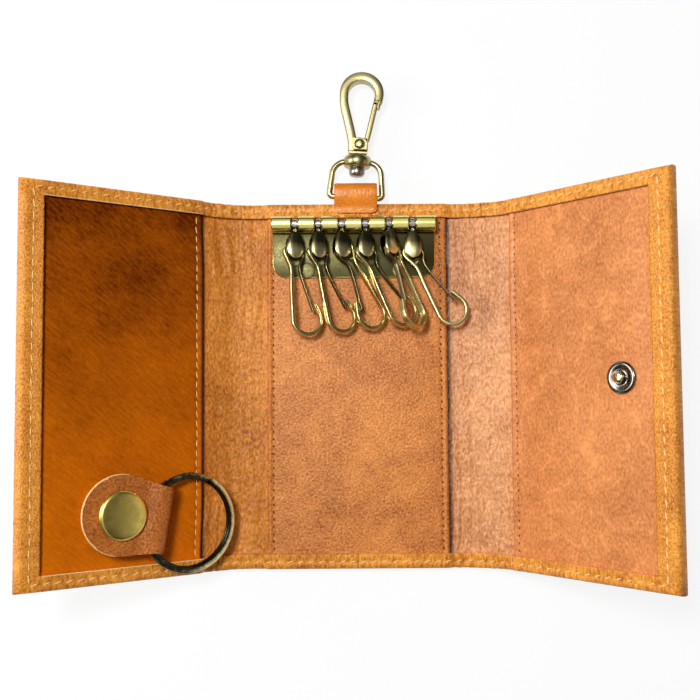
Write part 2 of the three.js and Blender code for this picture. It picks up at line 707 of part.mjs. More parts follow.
const snapBase = plate(
  [
    at(-SNAP_BASE_WIDTH / 2 + 0.3, snapLow),
    at(SNAP_BASE_WIDTH / 2 - 0.3, snapLow),
    at(SNAP_BASE_WIDTH / 2, snapLow + 2),
    at(SNAP_BASE_WIDTH / 2 - 0.1, snapHigh - 2 * SNAP_BASE_EASE),
    at(SNAP_BASE_WIDTH / 2 - SNAP_BASE_EASE, snapHigh - SNAP_BASE_EASE / 2),
    at(SNAP_BASE_WIDTH / 2 - 2.5 * SNAP_BASE_EASE, snapHigh),
    at(-SNAP_BASE_WIDTH / 2, snapHigh),
  ],
  SNAP_BASE_THICK,
);
const pinBore = bar(SNAP_PIN_RADIUS + FIT_GAP, -SNAP_BASE_THICK, SNAP_BASE_THICK, SMALL_ROUND);
pinBore.translate(SNAP_PIVOT_X, pivotY, 0);
const clevisHalf = SNAP_GATE_THICK / 2 + FIT_GAP;
const clevis = box(-1.2, SNAP_BASE_WIDTH, pivotY - CLEVIS_DROP, snapHigh + 2, -clevisHalf, clevisHalf);
const studBore = barY(STUD_RADIUS + FIT_GAP, snapLow - 1, snapLow + SNAP_STUD_DEPTH + FIT_GAP);
addMesh(
  snap,
  "snap_hook_body",
  cut(
    join(snapBase, strip(snapPath, SNAP_BAR, SNAP_THICK)),
    clevis,
    pinBore,
    studBore,
    gateShape(SNAP_NOSE_GAP),
  ),
  antiqueBrass,
);
const snapGate = addGroup(snap, "snap_gate_turn", SNAP_PIVOT_X, pivotY, 0);
const gateBore = bar(SNAP_PIN_RADIUS + RUNNING_GAP, -SNAP_THICK, SNAP_THICK, SMALL_ROUND);
addMesh(
  snapGate,
  "snap_hook_gate",
  cut(gateShape(0).translate(-SNAP_PIVOT_X, -pivotY, 0), gateBore),
  antiqueBrass,
);
const pinEnd = SNAP_BASE_THICK / 2 + FIT_GAP / 2;
const pin = turned(
  [
    [0, -pinEnd - SNAP_PIN_HEAD_THICK],
    [SNAP_PIN_HEAD - 0.3, -pinEnd - SNAP_PIN_HEAD_THICK],
    [SNAP_PIN_HEAD, -pinEnd],
    [SNAP_PIN_RADIUS, -pinEnd],
    [SNAP_PIN_RADIUS, pinEnd],
    [SNAP_PIN_HEAD, pinEnd],
    [SNAP_PIN_HEAD - 0.3, pinEnd + SNAP_PIN_HEAD_THICK],
    [0, pinEnd + SNAP_PIN_HEAD_THICK],
  ],
  SMALL_ROUND,
);
addMesh(snap, "snap_gate_pin", pin.translate(SNAP_PIVOT_X, pivotY, 0), antiqueBrass);
const leafY = pivotY - CLEVIS_DROP + LEAF_SPRING_THICK / 2 + FIT_GAP / 2;
addMesh(
  snap,
  "snap_gate_spring",
  strip([at(-1.0, leafY), at(1.4, leafY), at(2.3, leafY + 0.5)], LEAF_SPRING_THICK, SNAP_GATE_THICK - 0.2),
  brightSteel,
);

// Key loop strap, drawn from the side: s runs from the snap to the fold, w up from the pocket panel
const pocketTop = PANEL_TOP - FOLD_Z;
const loop = addGroup(leftFlap, "key_loop", -loopFromFold, KEY_LOOP_Y, pocketTop);
loop.rotation.z = -rad(KEY_LOOP_TURN);
const strapHalf = STRAP_THICK / 2;
const lowerMid = PLY_GAP + strapHalf;
const foldMid = PLY_GAP + STRAP_THICK + STRAP_FOLD_RADIUS;
const foldRadius = STRAP_FOLD_RADIUS + strapHalf;
const foldOut = STRAP_FOLD_AT + foldRadius + strapHalf;
const upperMid = PLY_GAP + STRAP_THICK + STRAP_SNAP_GAP + strapHalf;
const lowerPath = [
  at(-STRAP_END_RADIUS - 1, lowerMid),
  at(STRAP_FOLD_AT - 3, lowerMid),
  ...arc(STRAP_FOLD_AT, foldMid, foldRadius, -90, -STRAP_FOLD_SLIT, 6),
];
const upperPath = [
  ...arc(STRAP_FOLD_AT, foldMid, foldRadius, STRAP_FOLD_SLIT, 90, 6),
  at(CAP_RADIUS + 0.5, upperMid),
  at(0, upperMid),
  at(-STRAP_END_RADIUS - 1, upperMid),
];
function strapLeaf(path, endRadius, holeRadius) {
  const outline = [
    ...arc(0, 0, endRadius, 62, 298, 20),
    at(STRAP_FOLD_AT - STRAP_NECK, -STRAP_FOLD_HALF),
    at(foldOut + 1, -STRAP_FOLD_HALF),
    at(foldOut + 1, STRAP_FOLD_HALF),
    at(STRAP_FOLD_AT - STRAP_NECK, STRAP_FOLD_HALF),
  ];
  const sheet = standAcross(strip(path, STRAP_THICK, 3 * STRAP_END_RADIUS));
  const shaped = common(sheet, plate(outline, 2 * STRAP_END_RADIUS));
  return cut(shaped, bar(holeRadius, -1, foldMid + foldRadius + 1, SMALL_ROUND));
}
addMesh(loop, "key_loop_lower_leaf", strapLeaf(lowerPath, STRAP_LOWER_RADIUS, rivetHole), strapLeather);
const leaf = addGroup(loop, "key_loop_leaf_turn", foldOut, 0, foldMid);
const upperLeaf = strapLeaf(upperPath, STRAP_END_RADIUS, rivetHole).translate(-foldOut, 0, -foldMid);
addMesh(leaf, "key_loop_upper_leaf", upperLeaf, strapLeather);

// Snap of the key loop: cap and socket on the upper leaf, stud riveted through the pocket panel
const upperTop = upperMid + strapHalf;
const upperUnder = upperMid - strapHalf;
const lowerTop = lowerMid + strapHalf;
const seat = FIT_GAP / 2;
const capLow = upperTop + seat;
const cap = turned([
  [0, upperUnder - seat],
  [RIVET_SHANK_RADIUS, upperUnder - seat],
  [RIVET_SHANK_RADIUS, capLow],
  [CAP_RADIUS - 0.25, capLow],
  [CAP_RADIUS, capLow + 0.35],
  [CAP_RADIUS - 0.15, capLow + 0.85],
  [CAP_RADIUS - 0.7, capLow + CAP_THICK - 0.4],
  [CAP_RADIUS * 0.55, capLow + CAP_THICK - 0.1],
  [0, capLow + CAP_THICK],
]);
addMesh(leaf, "key_loop_cap", cap.translate(-foldOut, 0, -foldMid), antiqueBrass);
const socketTop = upperUnder - 2 * seat;
const socketLow = socketTop - SNAP_SOCKET_THICK;
const socket = cut(
  turned([
    [0, socketLow],
    [SNAP_SOCKET_RADIUS - 0.4, socketLow],
    [SNAP_SOCKET_RADIUS, socketLow + 0.4],
    [SNAP_SOCKET_RADIUS, socketTop],
    [0, socketTop],
  ]),
  bar(SNAP_STUD_RADIUS + SNAP_PLAY, socketLow - 1, socketTop + 1, SMALL_ROUND),
);
addMesh(leaf, "key_loop_socket", socket.translate(-foldOut, 0, -foldMid), antiqueBrass);
const flangeTop = -PANEL_THICK - seat;
const loopStud = turned(
  [
    [0, flangeTop - RIVET_FLANGE_THICK],
    [RIVET_FLANGE_RADIUS, flangeTop - RIVET_FLANGE_THICK],
    [RIVET_FLANGE_RADIUS, flangeTop],
    [RIVET_SHANK_RADIUS, flangeTop],
    [RIVET_SHANK_RADIUS, lowerTop + seat],
    [SNAP_SOCKET_RADIUS - 0.4, lowerTop + seat],
    [SNAP_SOCKET_RADIUS - 0.4, lowerTop + 0.6],
    [SNAP_STUD_RADIUS - 0.2, lowerTop + 0.8],
    [SNAP_STUD_RADIUS, socketTop - 0.5],
    [0, socketTop - 0.15],
  ],
  SMALL_ROUND,
);
addMesh(loop, "key_loop_stud", loopStud, antiqueBrass);

// Split ring: one flat wire wound nearly twice, stepping up by a turn's height between its ends
const ringRise = RING_WIRE + RING_TURN_GAP;
const ringStart = RING_STEP_DEG / 2;
const ringEnd = 720 - RING_STEP_DEG / 2;
function ringHeight(angle) {
  const along = THREE.MathUtils.clamp((angle - 360 + RING_STEP_DEG / 2) / RING_STEP_DEG, 0, 1);
  return ringRise * (along * along * (3 - 2 * along) - 0.5);
}
const ringSteps = Math.round(((ringEnd - ringStart) / 360) * RING_TURN_STEPS);
const ringStations = Array.from({ length: ringSteps + 1 }, (_, i) => {
  const angle = ringStart + ((ringEnd - ringStart) * i) / ringSteps;
  const corners = [
    [RING_RADIUS, -RING_WIRE / 2],
    [RING_RADIUS, RING_WIRE / 2],
    [RING_RADIUS - RING_BAND, RING_WIRE / 2],
    [RING_RADIUS - RING_BAND, -RING_WIRE / 2],
  ].map(([radius, up]) => [
    radius * Math.cos(rad(angle)),
    radius * Math.sin(rad(angle)),
    ringHeight(angle) + up,
  ]);
  return { angle, corners };
});
const ringIndex = [0, 1, 2, 0, 2, 3];
ringStations.slice(1).forEach((_, i) => {
  [0, 1, 2, 3].forEach((k) => {
    const a = 4 * i + k;
    const b = 4 * i + ((k + 1) % 4);
    ringIndex.push(a, b + 4, b, a, a + 4, b + 4);
  });
});
const lastRing = 4 * ringSteps;
ringIndex.push(lastRing, lastRing + 2, lastRing + 1, lastRing, lastRing + 3, lastRing + 2);
const ringGeometry = new THREE.BufferGeometry();
ringGeometry.setAttribute(
  "position",
  new THREE.Float32BufferAttribute(ringStations.flatMap((station) => station.corners.flat()), 3),
);
ringGeometry.setIndex(ringIndex);
let ringLeastGap = Infinity;
ringStations.forEach((first) => {
  ringStations.forEach((second) => {
    if (second.angle - first.angle < 180) return;
    first.corners.forEach((p) => {
      second.corners.forEach((q) => {
        ringLeastGap = Math.min(ringLeastGap, Math.hypot(p[0] - q[0], p[1] - q[1], p[2] - q[2]));
      });
    });
  });
});
console.log("split ring least gap to itself " + ringLeastGap.toFixed(3) + " mm");
const ringSwing = addGroup(loop, "split_ring_swing", RING_AT - RING_RADIUS + RING_SWING_IN, 0, foldMid);
addMesh(
  ringSwing,
  "split_ring",
  ringGeometry.rotateZ(rad(RING_SEAM_DEG)).translate(RING_RADIUS - RING_SWING_IN, 0, 0),
  darkBronze,
);

// Closure snap. Its stud stands on the right pocket panel, and its cap closes the outside.
const closureSeat = addGroup(rightFlap, "", closureFromRightFold, CLOSURE_Y, -FOLD_Z);
const studLow = PANEL_TOP + seat;
const studBase = studLow + CLOSURE_BASE_THICK;
const closureStud = turned([
  [0, studLow],
  [CLOSURE_BASE_RADIUS, studLow],
  [CLOSURE_BASE_RADIUS, studLow + 0.5],
  [CLOSURE_BASE_RADIUS - 0.6, studBase],
  [CLOSURE_POST_RADIUS - 0.25, studBase],
  [CLOSURE_POST_RADIUS - 0.25, studBase + 0.6],
  [CLOSURE_POST_RADIUS, studBase + 0.9],
  [CLOSURE_POST_RADIUS - 0.2, studBase + CLOSURE_POST_RISE - 0.2],
  [0, studBase + CLOSURE_POST_RISE],
]);
addMesh(closureSeat, "closure_stud", closureStud, gunmetal);
const closureCap = turned([
  [0, -seat - CLOSURE_CAP_THICK],
  [CLOSURE_CAP_RADIUS * 0.6, -seat - CLOSURE_CAP_THICK + 0.15],
  [CLOSURE_CAP_RADIUS - 0.4, -seat - CLOSURE_CAP_THICK * 0.5],
  [CLOSURE_CAP_RADIUS, -seat - 0.3],
  [CLOSURE_CAP_RADIUS - 0.2, -seat],
  [RIVET_SHANK_RADIUS, -seat],
  [RIVET_SHANK_RADIUS, PANEL_TOP - seat],
  [0, PANEL_TOP - seat],
]);
addMesh(closureSeat, "closure_cap", closureCap, antiqueBrass);

// Its socket stands out of the left flap's back, held by an eyelet from inside the pocket
const socketSeat = addGroup(leftFlap, "", -closureFromLeftFold, CLOSURE_Y, -FOLD_Z);
const socketBore = CLOSURE_POST_RADIUS + CLOSURE_PLAY;
const socketBack = -seat - CLOSURE_SOCKET_THICK;
const closureSocket = cut(
  turned([
    [0, socketBack],
    [CLOSURE_SOCKET_RADIUS - 0.8, socketBack],
    [CLOSURE_SOCKET_RADIUS - 0.4, socketBack + 0.5],
    [CLOSURE_SOCKET_RADIUS, -seat - 0.6],
    [CLOSURE_SOCKET_RADIUS, -seat],
    [0, -seat],
  ]),
  bar(socketBore, socketBack - 1, 1),
);
addMesh(socketSeat, "closure_socket", closureSocket, antiqueBrass);
const eyeletTop = LINER_Z + RIVET_FLANGE_THICK + seat;
const eyelet = turned(
  [
    [0, -seat],
    [RIVET_SHANK_RADIUS, -seat],
    [RIVET_SHANK_RADIUS, LINER_Z],
    [RIVET_FLANGE_RADIUS, LINER_Z],
    [RIVET_FLANGE_RADIUS, eyeletTop],
    [0, eyeletTop],
  ],
  SMALL_ROUND,
);
addMesh(socketSeat, "closure_eyelet", eyelet, antiqueBrass);

export default group;
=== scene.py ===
"""Looks of a trifold leather key case that lies open on its back.

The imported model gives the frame: metres, +X right across the folds, +Y to the snap hook, +Z up.
Lengths below are in millimetres and are turned into metres where a mesh is made.
"""
import cmath
from math import acos, atan2, cos, exp, hypot, pi, radians, sin, sqrt

import bmesh
import bpy
from mathutils import Matrix, Vector, noise


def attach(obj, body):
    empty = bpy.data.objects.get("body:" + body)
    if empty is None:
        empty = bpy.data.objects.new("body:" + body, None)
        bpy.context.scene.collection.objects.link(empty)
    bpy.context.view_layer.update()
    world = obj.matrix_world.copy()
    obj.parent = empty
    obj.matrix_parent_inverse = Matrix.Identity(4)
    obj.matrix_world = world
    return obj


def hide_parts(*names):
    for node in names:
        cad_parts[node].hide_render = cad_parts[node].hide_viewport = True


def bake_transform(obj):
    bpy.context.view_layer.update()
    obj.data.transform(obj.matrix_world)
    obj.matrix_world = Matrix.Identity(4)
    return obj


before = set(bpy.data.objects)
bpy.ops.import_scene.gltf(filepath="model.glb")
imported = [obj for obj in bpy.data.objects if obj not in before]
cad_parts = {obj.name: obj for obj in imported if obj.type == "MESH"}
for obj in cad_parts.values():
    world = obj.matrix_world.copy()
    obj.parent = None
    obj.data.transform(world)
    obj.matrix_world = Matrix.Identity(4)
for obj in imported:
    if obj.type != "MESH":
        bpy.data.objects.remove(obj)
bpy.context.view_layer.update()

# Table, light and camera
# The case lies on a pale table in a dim room with a strip light and a small lamp overhead and a window to
# its left. The camera hangs close above the middle of the case, as the photograph's does.
TABLE_REACH, TABLE_DROP, TABLE_GLOW = 3.0, -0.0003, 0.86
STRIP_LIGHT, WALL_LIGHT = 0.80, 0.03
PHOTO_PIXELS, PHOTO_FOCAL_PIXELS = 700, 950
CAMERA_PLACE, CAMERA_TILT, CAMERA_ROLL = (-0.0020, -0.0066, 0.2639), 3.52, -0.4
scene = bpy.context.scene
scene.view_settings.view_transform = "Standard"


def node(tree, kind, sockets=None, **settings):
    """Adds a node and gives its outputs. Its sockets get values, or the outputs that feed them."""
    made = tree.nodes.new(kind)
    for key, value in settings.items():
        setattr(made, key, value)
    for key, value in (sockets or {}).items():
        if isinstance(value, bpy.types.NodeSocket):
            tree.links.new(value, made.inputs[key])
        else:
            made.inputs[key].default_value = value
    return made.outputs


def calc(tree, operation, *values):
    """The result of a sum on values and outputs."""
    return node(tree, "ShaderNodeMath", dict(enumerate(values)), operation=operation)[0]


def ranged(tree, value, low, high, to_low=0.0, to_high=1.0, ease="LINEAR"):
    """A value carried from one range to another."""
    limits = {"From Min": low, "From Max": high, "To Min": to_low, "To Max": to_high}
    return node(tree, "ShaderNodeMapRange", {"Value": value, **limits}, interpolation_type=ease)[0]


def new_material(name):
    material = bpy.data.materials.new(name)
    material.use_nodes = True
    material.node_tree.nodes.clear()
    return material, material.node_tree


def put(name, data):
    """An object in the scene."""
    made = bpy.data.objects.new(name, data)
    scene.collection.objects.link(made)
    return made


def spin(degrees, axis):
    return Matrix.Rotation(radians(degrees), 4, axis)


def shift(*place):
    return Matrix.Translation(place)


table_paint, tree = new_material("pale table")
glow = node(tree, "ShaderNodeEmission", {"Color": (1.0, 1.0, 1.0, 1.0), "Strength": 1.0})[0]
matt = node(tree, "ShaderNodeBsdfDiffuse", {"Color": (0.86, 0.86, 0.86, 1.0)})[0]
path = node(tree, "ShaderNodeLightPath")
seen = calc(tree, "MAXIMUM", path["Is Camera Ray"], path["Is Glossy Ray"])
both = node(tree, "ShaderNodeMixShader", {0: calc(tree, "MULTIPLY", seen, TABLE_GLOW), 1: matt, 2: glow})
node(tree, "ShaderNodeOutputMaterial", {"Surface": both[0]})

table_mesh = bpy.data.meshes.new("table")
corners = [(TABLE_REACH * x, TABLE_REACH * y, TABLE_DROP) for x, y in ((-1, -1), (1, -1), (1, 1), (-1, 1))]
table_mesh.from_pydata(corners, [], [(0, 1, 2, 3)])
table_mesh.materials.append(table_paint)
table = put("table", table_mesh)

world = bpy.data.worlds.new("soft room")
world.use_nodes = True
scene.world = world
room = world.node_tree
room.nodes.clear()
ray = node(room, "ShaderNodeNewGeometry")["Incoming"]
ray_parts = node(room, "ShaderNodeSeparateXYZ", {0: ray})
sideways = calc(room, "ABSOLUTE", ray_parts[0])
strip = ranged(room, sideways, 0.10, 0.20, STRIP_LIGHT, 0.0, "SMOOTHSTEP")
overhead = ranged(room, ray_parts[2], -0.40, -0.55)
ceiling = calc(room, "MULTIPLY_ADD", strip, overhead, WALL_LIGHT)
sky = node(room, "ShaderNodeBackground", {"Color": (1.0, 0.98, 0.95, 1.0), "Strength": ceiling})
node(room, "ShaderNodeOutputWorld", {"Surface": sky[0]})

for lamp_name, place, width, height, watts in [
    ("ceiling lamp", (-0.10, 0.10, 0.45), 0.10, 0.08, 1.67),
    ("window", (-0.42, 0.06, 0.24), 0.30, 0.20, 1.40),
    ("fill lamp", (0.37, -0.06, 0.17), 0.34, 0.16, 0.14),
]:
    lamp = bpy.data.lights.new(lamp_name, "AREA")
    lamp.shape = "RECTANGLE"
    lamp.size = width
    lamp.size_y = height
    lamp.energy = watts
    stand = put(lamp_name, lamp)
    stand.location = place
    stand.rotation_euler = (-Vector(place)).to_track_quat("-Z", "Y").to_euler()

lens = bpy.data.cameras.new("photo view")
lens.sensor_width = 36
lens.lens = lens.sensor_width * PHOTO_FOCAL_PIXELS / PHOTO_PIXELS
lens.clip_start = 0.005
camera = put("photo view", lens)
camera.matrix_world = shift(*CAMERA_PLACE) @ spin(CAMERA_TILT, "X") @ spin(CAMERA_ROLL, "Z")
scene.camera = camera

# Outer cover
# One sheet of smooth tan leather, 1.2 mm thick, wraps the case. Its edges are turned in over the
# lining as a hem and sewn down, with the corners mitred.
MM = 0.001
PATTERN_UNIT = 100.0
HALF_HEIGHT = 50.0
FOLD_LEVEL = 4.25
CENTRE_EDGE = 24.75
LEFT_POCKET_EDGE, RIGHT_POCKET_EDGE = 42.75, 41.75
LEFT_END, RIGHT_END = -91.25, 90.25
LEFT_SPLIT, RIGHT_SPLIT = -31.6, 34.4
RIGHT_FLAP_FOLD = 40.25
LEFT_FOLDS = [(28.5, 10.0, 2.8), (34.75, 25.2, 3.2)]
RIGHT_FOLDS = [(28.5, 15.6, 4.5), (RIGHT_FLAP_FOLD, 33.4, 5.5)]
PANEL_TOP, LINING_TOP = 3.1, 2.0
# Colour of the painted shadow on the lining beside the centre panel's right edge and the left pocket's mouth.
PAINTED_SHADOW_COLOUR = (0.012, 0.003, 0.001)


def laid(u, y, height):
    """A point of the flat case, height above its back, moved to where the open case holds it. A complex
    number stands for a point of the case's section, or a way in it."""
    side, folds = (1, RIGHT_FOLDS) if u > 0 else (-1, LEFT_FOLDS)
    spot, way, start = FOLD_LEVEL * 1j, 1, 0.0
    for place, turn, ease in folds:
        t = (abs(u) - place + ease) / (2 * ease)
        if t <= 0:
            break
        corner, after = spot + (place - start) * way, way * cmath.rect(1, radians(turn))
        spot, start = corner, place
        if t < 1:
            spot += ease * t * t * after - ease * (1 - t) ** 2 * way
            way, start = (1 - t) * way + t * after, abs(u)
            break
        way = after
    way /= abs(way)
    at = spot + (abs(u) - start) * way + (height - FOLD_LEVEL) * 1j * way
    return Vector((side * at.real, y, at.imag))


def wave(x, y, z):
    """A smooth wandering value between -1 and 1."""
    return noise.noise(Vector((x, y, z)))


def make_piece(name, points, faces, materials, flat=None):
    """A smooth object at the origin from points in millimetres, with its flat pattern as a UV map."""
    mesh = bpy.data.meshes.new(name)
    mesh.from_pydata([tuple(c * MM for c in p) for p in points], [], faces)
    if flat:
        layer = mesh.uv_layers.new(name="flat")
        for loop in mesh.loops:
            u, v = flat[loop.vertex_index]
            layer.data[loop.index].uv = (u / PATTERN_UNIT, v / PATTERN_UNIT)
    for material in materials:
        mesh.materials.append(material)
    mesh.polygons.foreach_set("use_smooth", [True] * len(mesh.polygons))
    return put(name, mesh)


def apply_modifiers(piece):
    """Keeps the shape that the modifiers give, as a plain mesh."""
    bpy.context.view_layer.update()
    shaped = bpy.data.meshes.new_from_object(piece.evaluated_get(bpy.context.evaluated_depsgraph_get()))
    piece.modifiers.clear()
    old = piece.data
    piece.data = shaped
    bpy.data.meshes.remove(old)
    return piece


def rework(piece, change):
    """Changes a piece's mesh in its edit form."""
    shell = bmesh.new()
    shell.from_mesh(piece.data)
    change(shell)
    shell.to_mesh(piece.data)
    shell.free()


def new_group(name, kind, inputs, outputs):
    """A node group with named sockets, and what its inputs give."""
    group = bpy.data.node_groups.new(name, kind)
    for in_out, sockets in (("INPUT", inputs), ("OUTPUT", outputs)):
        for label, socket in sockets.items():
            group.interface.new_socket(label, in_out=in_out, socket_type="NodeSocket" + socket)
    return group, node(group, "NodeGroupInput")


def speckle(tree, place, scale, detail=2.0, roughness=0.5, distortion=0.0):
    """What a noise texture gives."""
    look = {"Scale": scale, "Detail": detail, "Roughness": roughness, "Distortion": distortion}
    return node(tree, "ShaderNodeTexNoise", {"Vector": place, **look})


def blended(tree, share, first, second):
    """A mix of two colours, each given as a colour or an output."""
    one, two = ((*c, 1.0) if isinstance(c, tuple) else c for c in (first, second))
    return node(tree, "ShaderNodeMix", {0: share, 6: one, 7: two}, data_type="RGBA")[2]


def surfaced(tree, looks, height=None, strength=0.0, relief=0.0):
    """Ends a material in a surface with these looks, bumped by a height of so many millimetres."""
    if height is not None:
        bump = {"Strength": strength, "Distance": relief * MM, "Height": height}
        looks["Normal"] = node(tree, "ShaderNodeBump", bump)[0]
    skin = node(tree, "ShaderNodeBsdfPrincipled", looks)
    node(tree, "ShaderNodeOutputMaterial", {"Surface": skin[0]})


grains, given = new_group(
    "leather grain",
    "ShaderNodeTree",
    {
        "Vector": "Vector", "Pore scale": "Float", "Crease scale": "Float", "Crease depth": "Float",
        "Drawn out": "Vector",
    },
    dict.fromkeys(["Height", "Tone", "Cloud", "Vein", "Fibre"], "Float"),
)
spread_out = given["Vector"]
drawn = node(grains, "ShaderNodeMapping", {"Vector": spread_out, "Scale": given["Drawn out"]})[0]
pore_cells = {"Vector": drawn, "Scale": given["Pore scale"]}
pores = node(grains, "ShaderNodeTexVoronoi", pore_cells, feature="SMOOTH_F1")[0]
fine = speckle(grains, drawn, given["Pore scale"], 3.0, 0.55)[0]
stray = {0: speckle(grains, drawn, 18.0, 3.0)["Color"], 1: (0.09, 0.09, 0.0), 2: drawn}
strayed = node(grains, "ShaderNodeVectorMath", stray, operation="MULTIPLY_ADD")[0]
crease_cells = {"Vector": strayed, "Scale": given["Crease scale"]}
network = node(grains, "ShaderNodeTexVoronoi", crease_cells, feature="DISTANCE_TO_EDGE")
lines = ranged(grains, network["Distance"], 0.0, 0.06, 1.0, 0.0, "SMOOTHSTEP")
patch = speckle(grains, spread_out, 22.0, 4.0, 0.65)[0]
crease = calc(grains, "MULTIPLY", lines, ranged(grains, patch, 0.42, 0.62))
crease_fall = calc(grains, "MULTIPLY", crease, given["Crease depth"])
pore_height = calc(grains, "MULTIPLY_ADD", pores, 0.6, calc(grains, "MULTIPLY", fine, 1.2))
comb = node(
    grains,
    "ShaderNodeMapping",
    {"Vector": spread_out, "Rotation": (0.0, 0.0, -0.65), "Scale": (0.035, 0.0062, 1.0)},
    vector_type="TEXTURE",
)
node(
    grains,
    "NodeGroupOutput",
    {
        "Height": calc(grains, "SUBTRACT", pore_height, crease_fall),
        "Tone": calc(grains, "MULTIPLY_ADD", patch, 0.3, calc(grains, "MULTIPLY", fine, 0.7)),
        "Cloud": speckle(grains, spread_out, 4.2, 3.0, 0.6, 0.3)[0],
        "Vein": crease,
        "Fibre": speckle(grains, comb[0], 1.0)[0],
    },
)


def leather(
    name, dark, light, pore=0.9, crease=6.0, depth=0.0, cloud=0.4, vein=0.0, fibre=0.0, fade=0.0, drawn=1.0,
    rough=0.46, relief=0.16, gloss=0.35,
):
    """A leather dyed between two colours. Pores, creases and relief are in mm on the flat pattern; cloud,
    vein, fibre and fade say how far the dye's clouds, pale veins, combed fibres and darker far end show;
    drawn is how much the grain is drawn out along the case's height. Where the shade attribute is high, the
    colour turns to a painted shadow."""
    material, tree = new_material(name)
    pattern = node(tree, "ShaderNodeUVMap", uv_map="flat")[0]
    wanted = {
        "Vector": pattern,
        "Pore scale": PATTERN_UNIT / pore,
        "Crease scale": PATTERN_UNIT / crease,
        "Crease depth": depth,
        "Drawn out": (1.0, 1.0 / drawn, 1.0),
    }
    grain = node(tree, "ShaderNodeGroup", wanted, node_tree=grains)
    amount = grain["Tone"]
    for source, share in (("Cloud", cloud), ("Fibre", fibre), ("Vein", vein)):
        amount = calc(tree, "MULTIPLY_ADD", grain[source], share, amount)
    far_end = node(tree, "ShaderNodeSeparateXYZ", {0: pattern})[1]
    faded = calc(tree, "MULTIPLY_ADD", far_end, -fade, amount)
    middle = 0.5 * (1 + cloud + fibre)
    reach = 0.14 + 0.14 * cloud + 0.1 * fibre + 0.3 * fade
    dye = blended(tree, ranged(tree, faded, middle - reach, middle + reach), dark, light)
    # Painted shadow: where the shade attribute is high, the colour turns to a near-black painted shadow.
    painted_shadow_share = node(tree, "ShaderNodeAttribute", attribute_name="shade")["Fac"]
    looks = {
        "Base Color": blended(tree, painted_shadow_share, dye, PAINTED_SHADOW_COLOUR),
        "Roughness": ranged(tree, grain["Tone"], 0.3, 0.7, rough + 0.08, rough - 0.08),
        "Specular IOR Level": gloss,
        "Specular Tint": (1.0, 0.90, 0.80, 1.0),
    }
    surfaced(tree, looks, grain["Height"], 0.9, relief)
    return material


cover_leather = leather(
    "cover leather", (0.31, 0.068, 0.002), (0.99, 0.420, 0.055),
    pore=0.65, crease=3.2, depth=0.5, cloud=0.3, rough=0.42,
)
raw_edge = leather("raw leather edge", (0.66, 0.40, 0.13), (0.96, 0.72, 0.34), pore=0.4, rough=0.7)

HEM_RISE, SEAM_GROOVE, CORNER_DROP, COVER_WALL = 1.1, 0.16, 0.25, 1.0
STITCH_PITCH = 2.9
SIDE_REACH, BACK_INSET, BACK_PATTERN = 44.0, 3.0, 130
ALONG, DOWN, CORNER = range(3)
ROLL = [1.2, 0.6, 0.16, 0.0, -0.05, 0.0, 0.16, 0.6, 1.2, BACK_INSET]
TOP_INSETS = [4.0, 3.78, 2.55, 2.0, 1.5] + ROLL
SIDE_INSETS = [5.5, 5.1, 3.6, 3.0, 2.4] + ROLL
ROLL_EDGE = 9


def ramp(value, low, high):
    t = min(1.0, max(0.0, (value - low) / (high - low)))
    return t * t * (3 - 2 * t)


def spread(start, stop, step):
    count = max(1, round(abs(stop - start) / step))
    return [start + (stop - start) * i / count for i in range(count + 1)]


def cells(columns, rows, first=0):
    """The first corner of each cell in a grid of points that runs column by column."""
    return [first + i * rows + j for i in range(columns - 1) for j in range(rows - 1)]


def in_spine(u):
    """1 over the soft spines between the centre panel and the pockets, 0 over the panels."""
    pocket = RIGHT_POCKET_EDGE if u > 0 else LEFT_POCKET_EDGE
    beside_panel = ramp(abs(u), CENTRE_EDGE - 0.4, CENTRE_EDGE + 1.2)
    return beside_panel * (1 - ramp(abs(u), pocket - 1.2, pocket + 0.4))


def between_stitches(run):
    return 0.07 * cos(2 * pi * run / STITCH_PITCH)


def hem_top(u, y):
    """Height of the hem: it drops over the spines, where it is bunched into small puckers."""
    soft = in_spine(u)
    puckers = 0.7 * wave(u * 0.7, y * 0.05, 3.1) + wave(u * 1.35, y * 0.1, 7.7)
    level = PANEL_TOP - soft * (PANEL_TOP - LINING_TOP) + HEM_RISE
    return level + soft * (0.5 * puckers + 0.15) + (1 - soft) * between_stitches(u)


def hem_heights(top):
    """Heights of the hem's section, from its lip over the rolled edge to the back."""
    level = top - 1.2
    lip = [top + 0.12, top + 0.14, top, top - SEAM_GROOVE, top, top]
    return lip + [level + 1.04, level + 0.6, level, top / 2, 1.2, 0.6, 0.16, 0.0, 0.0]


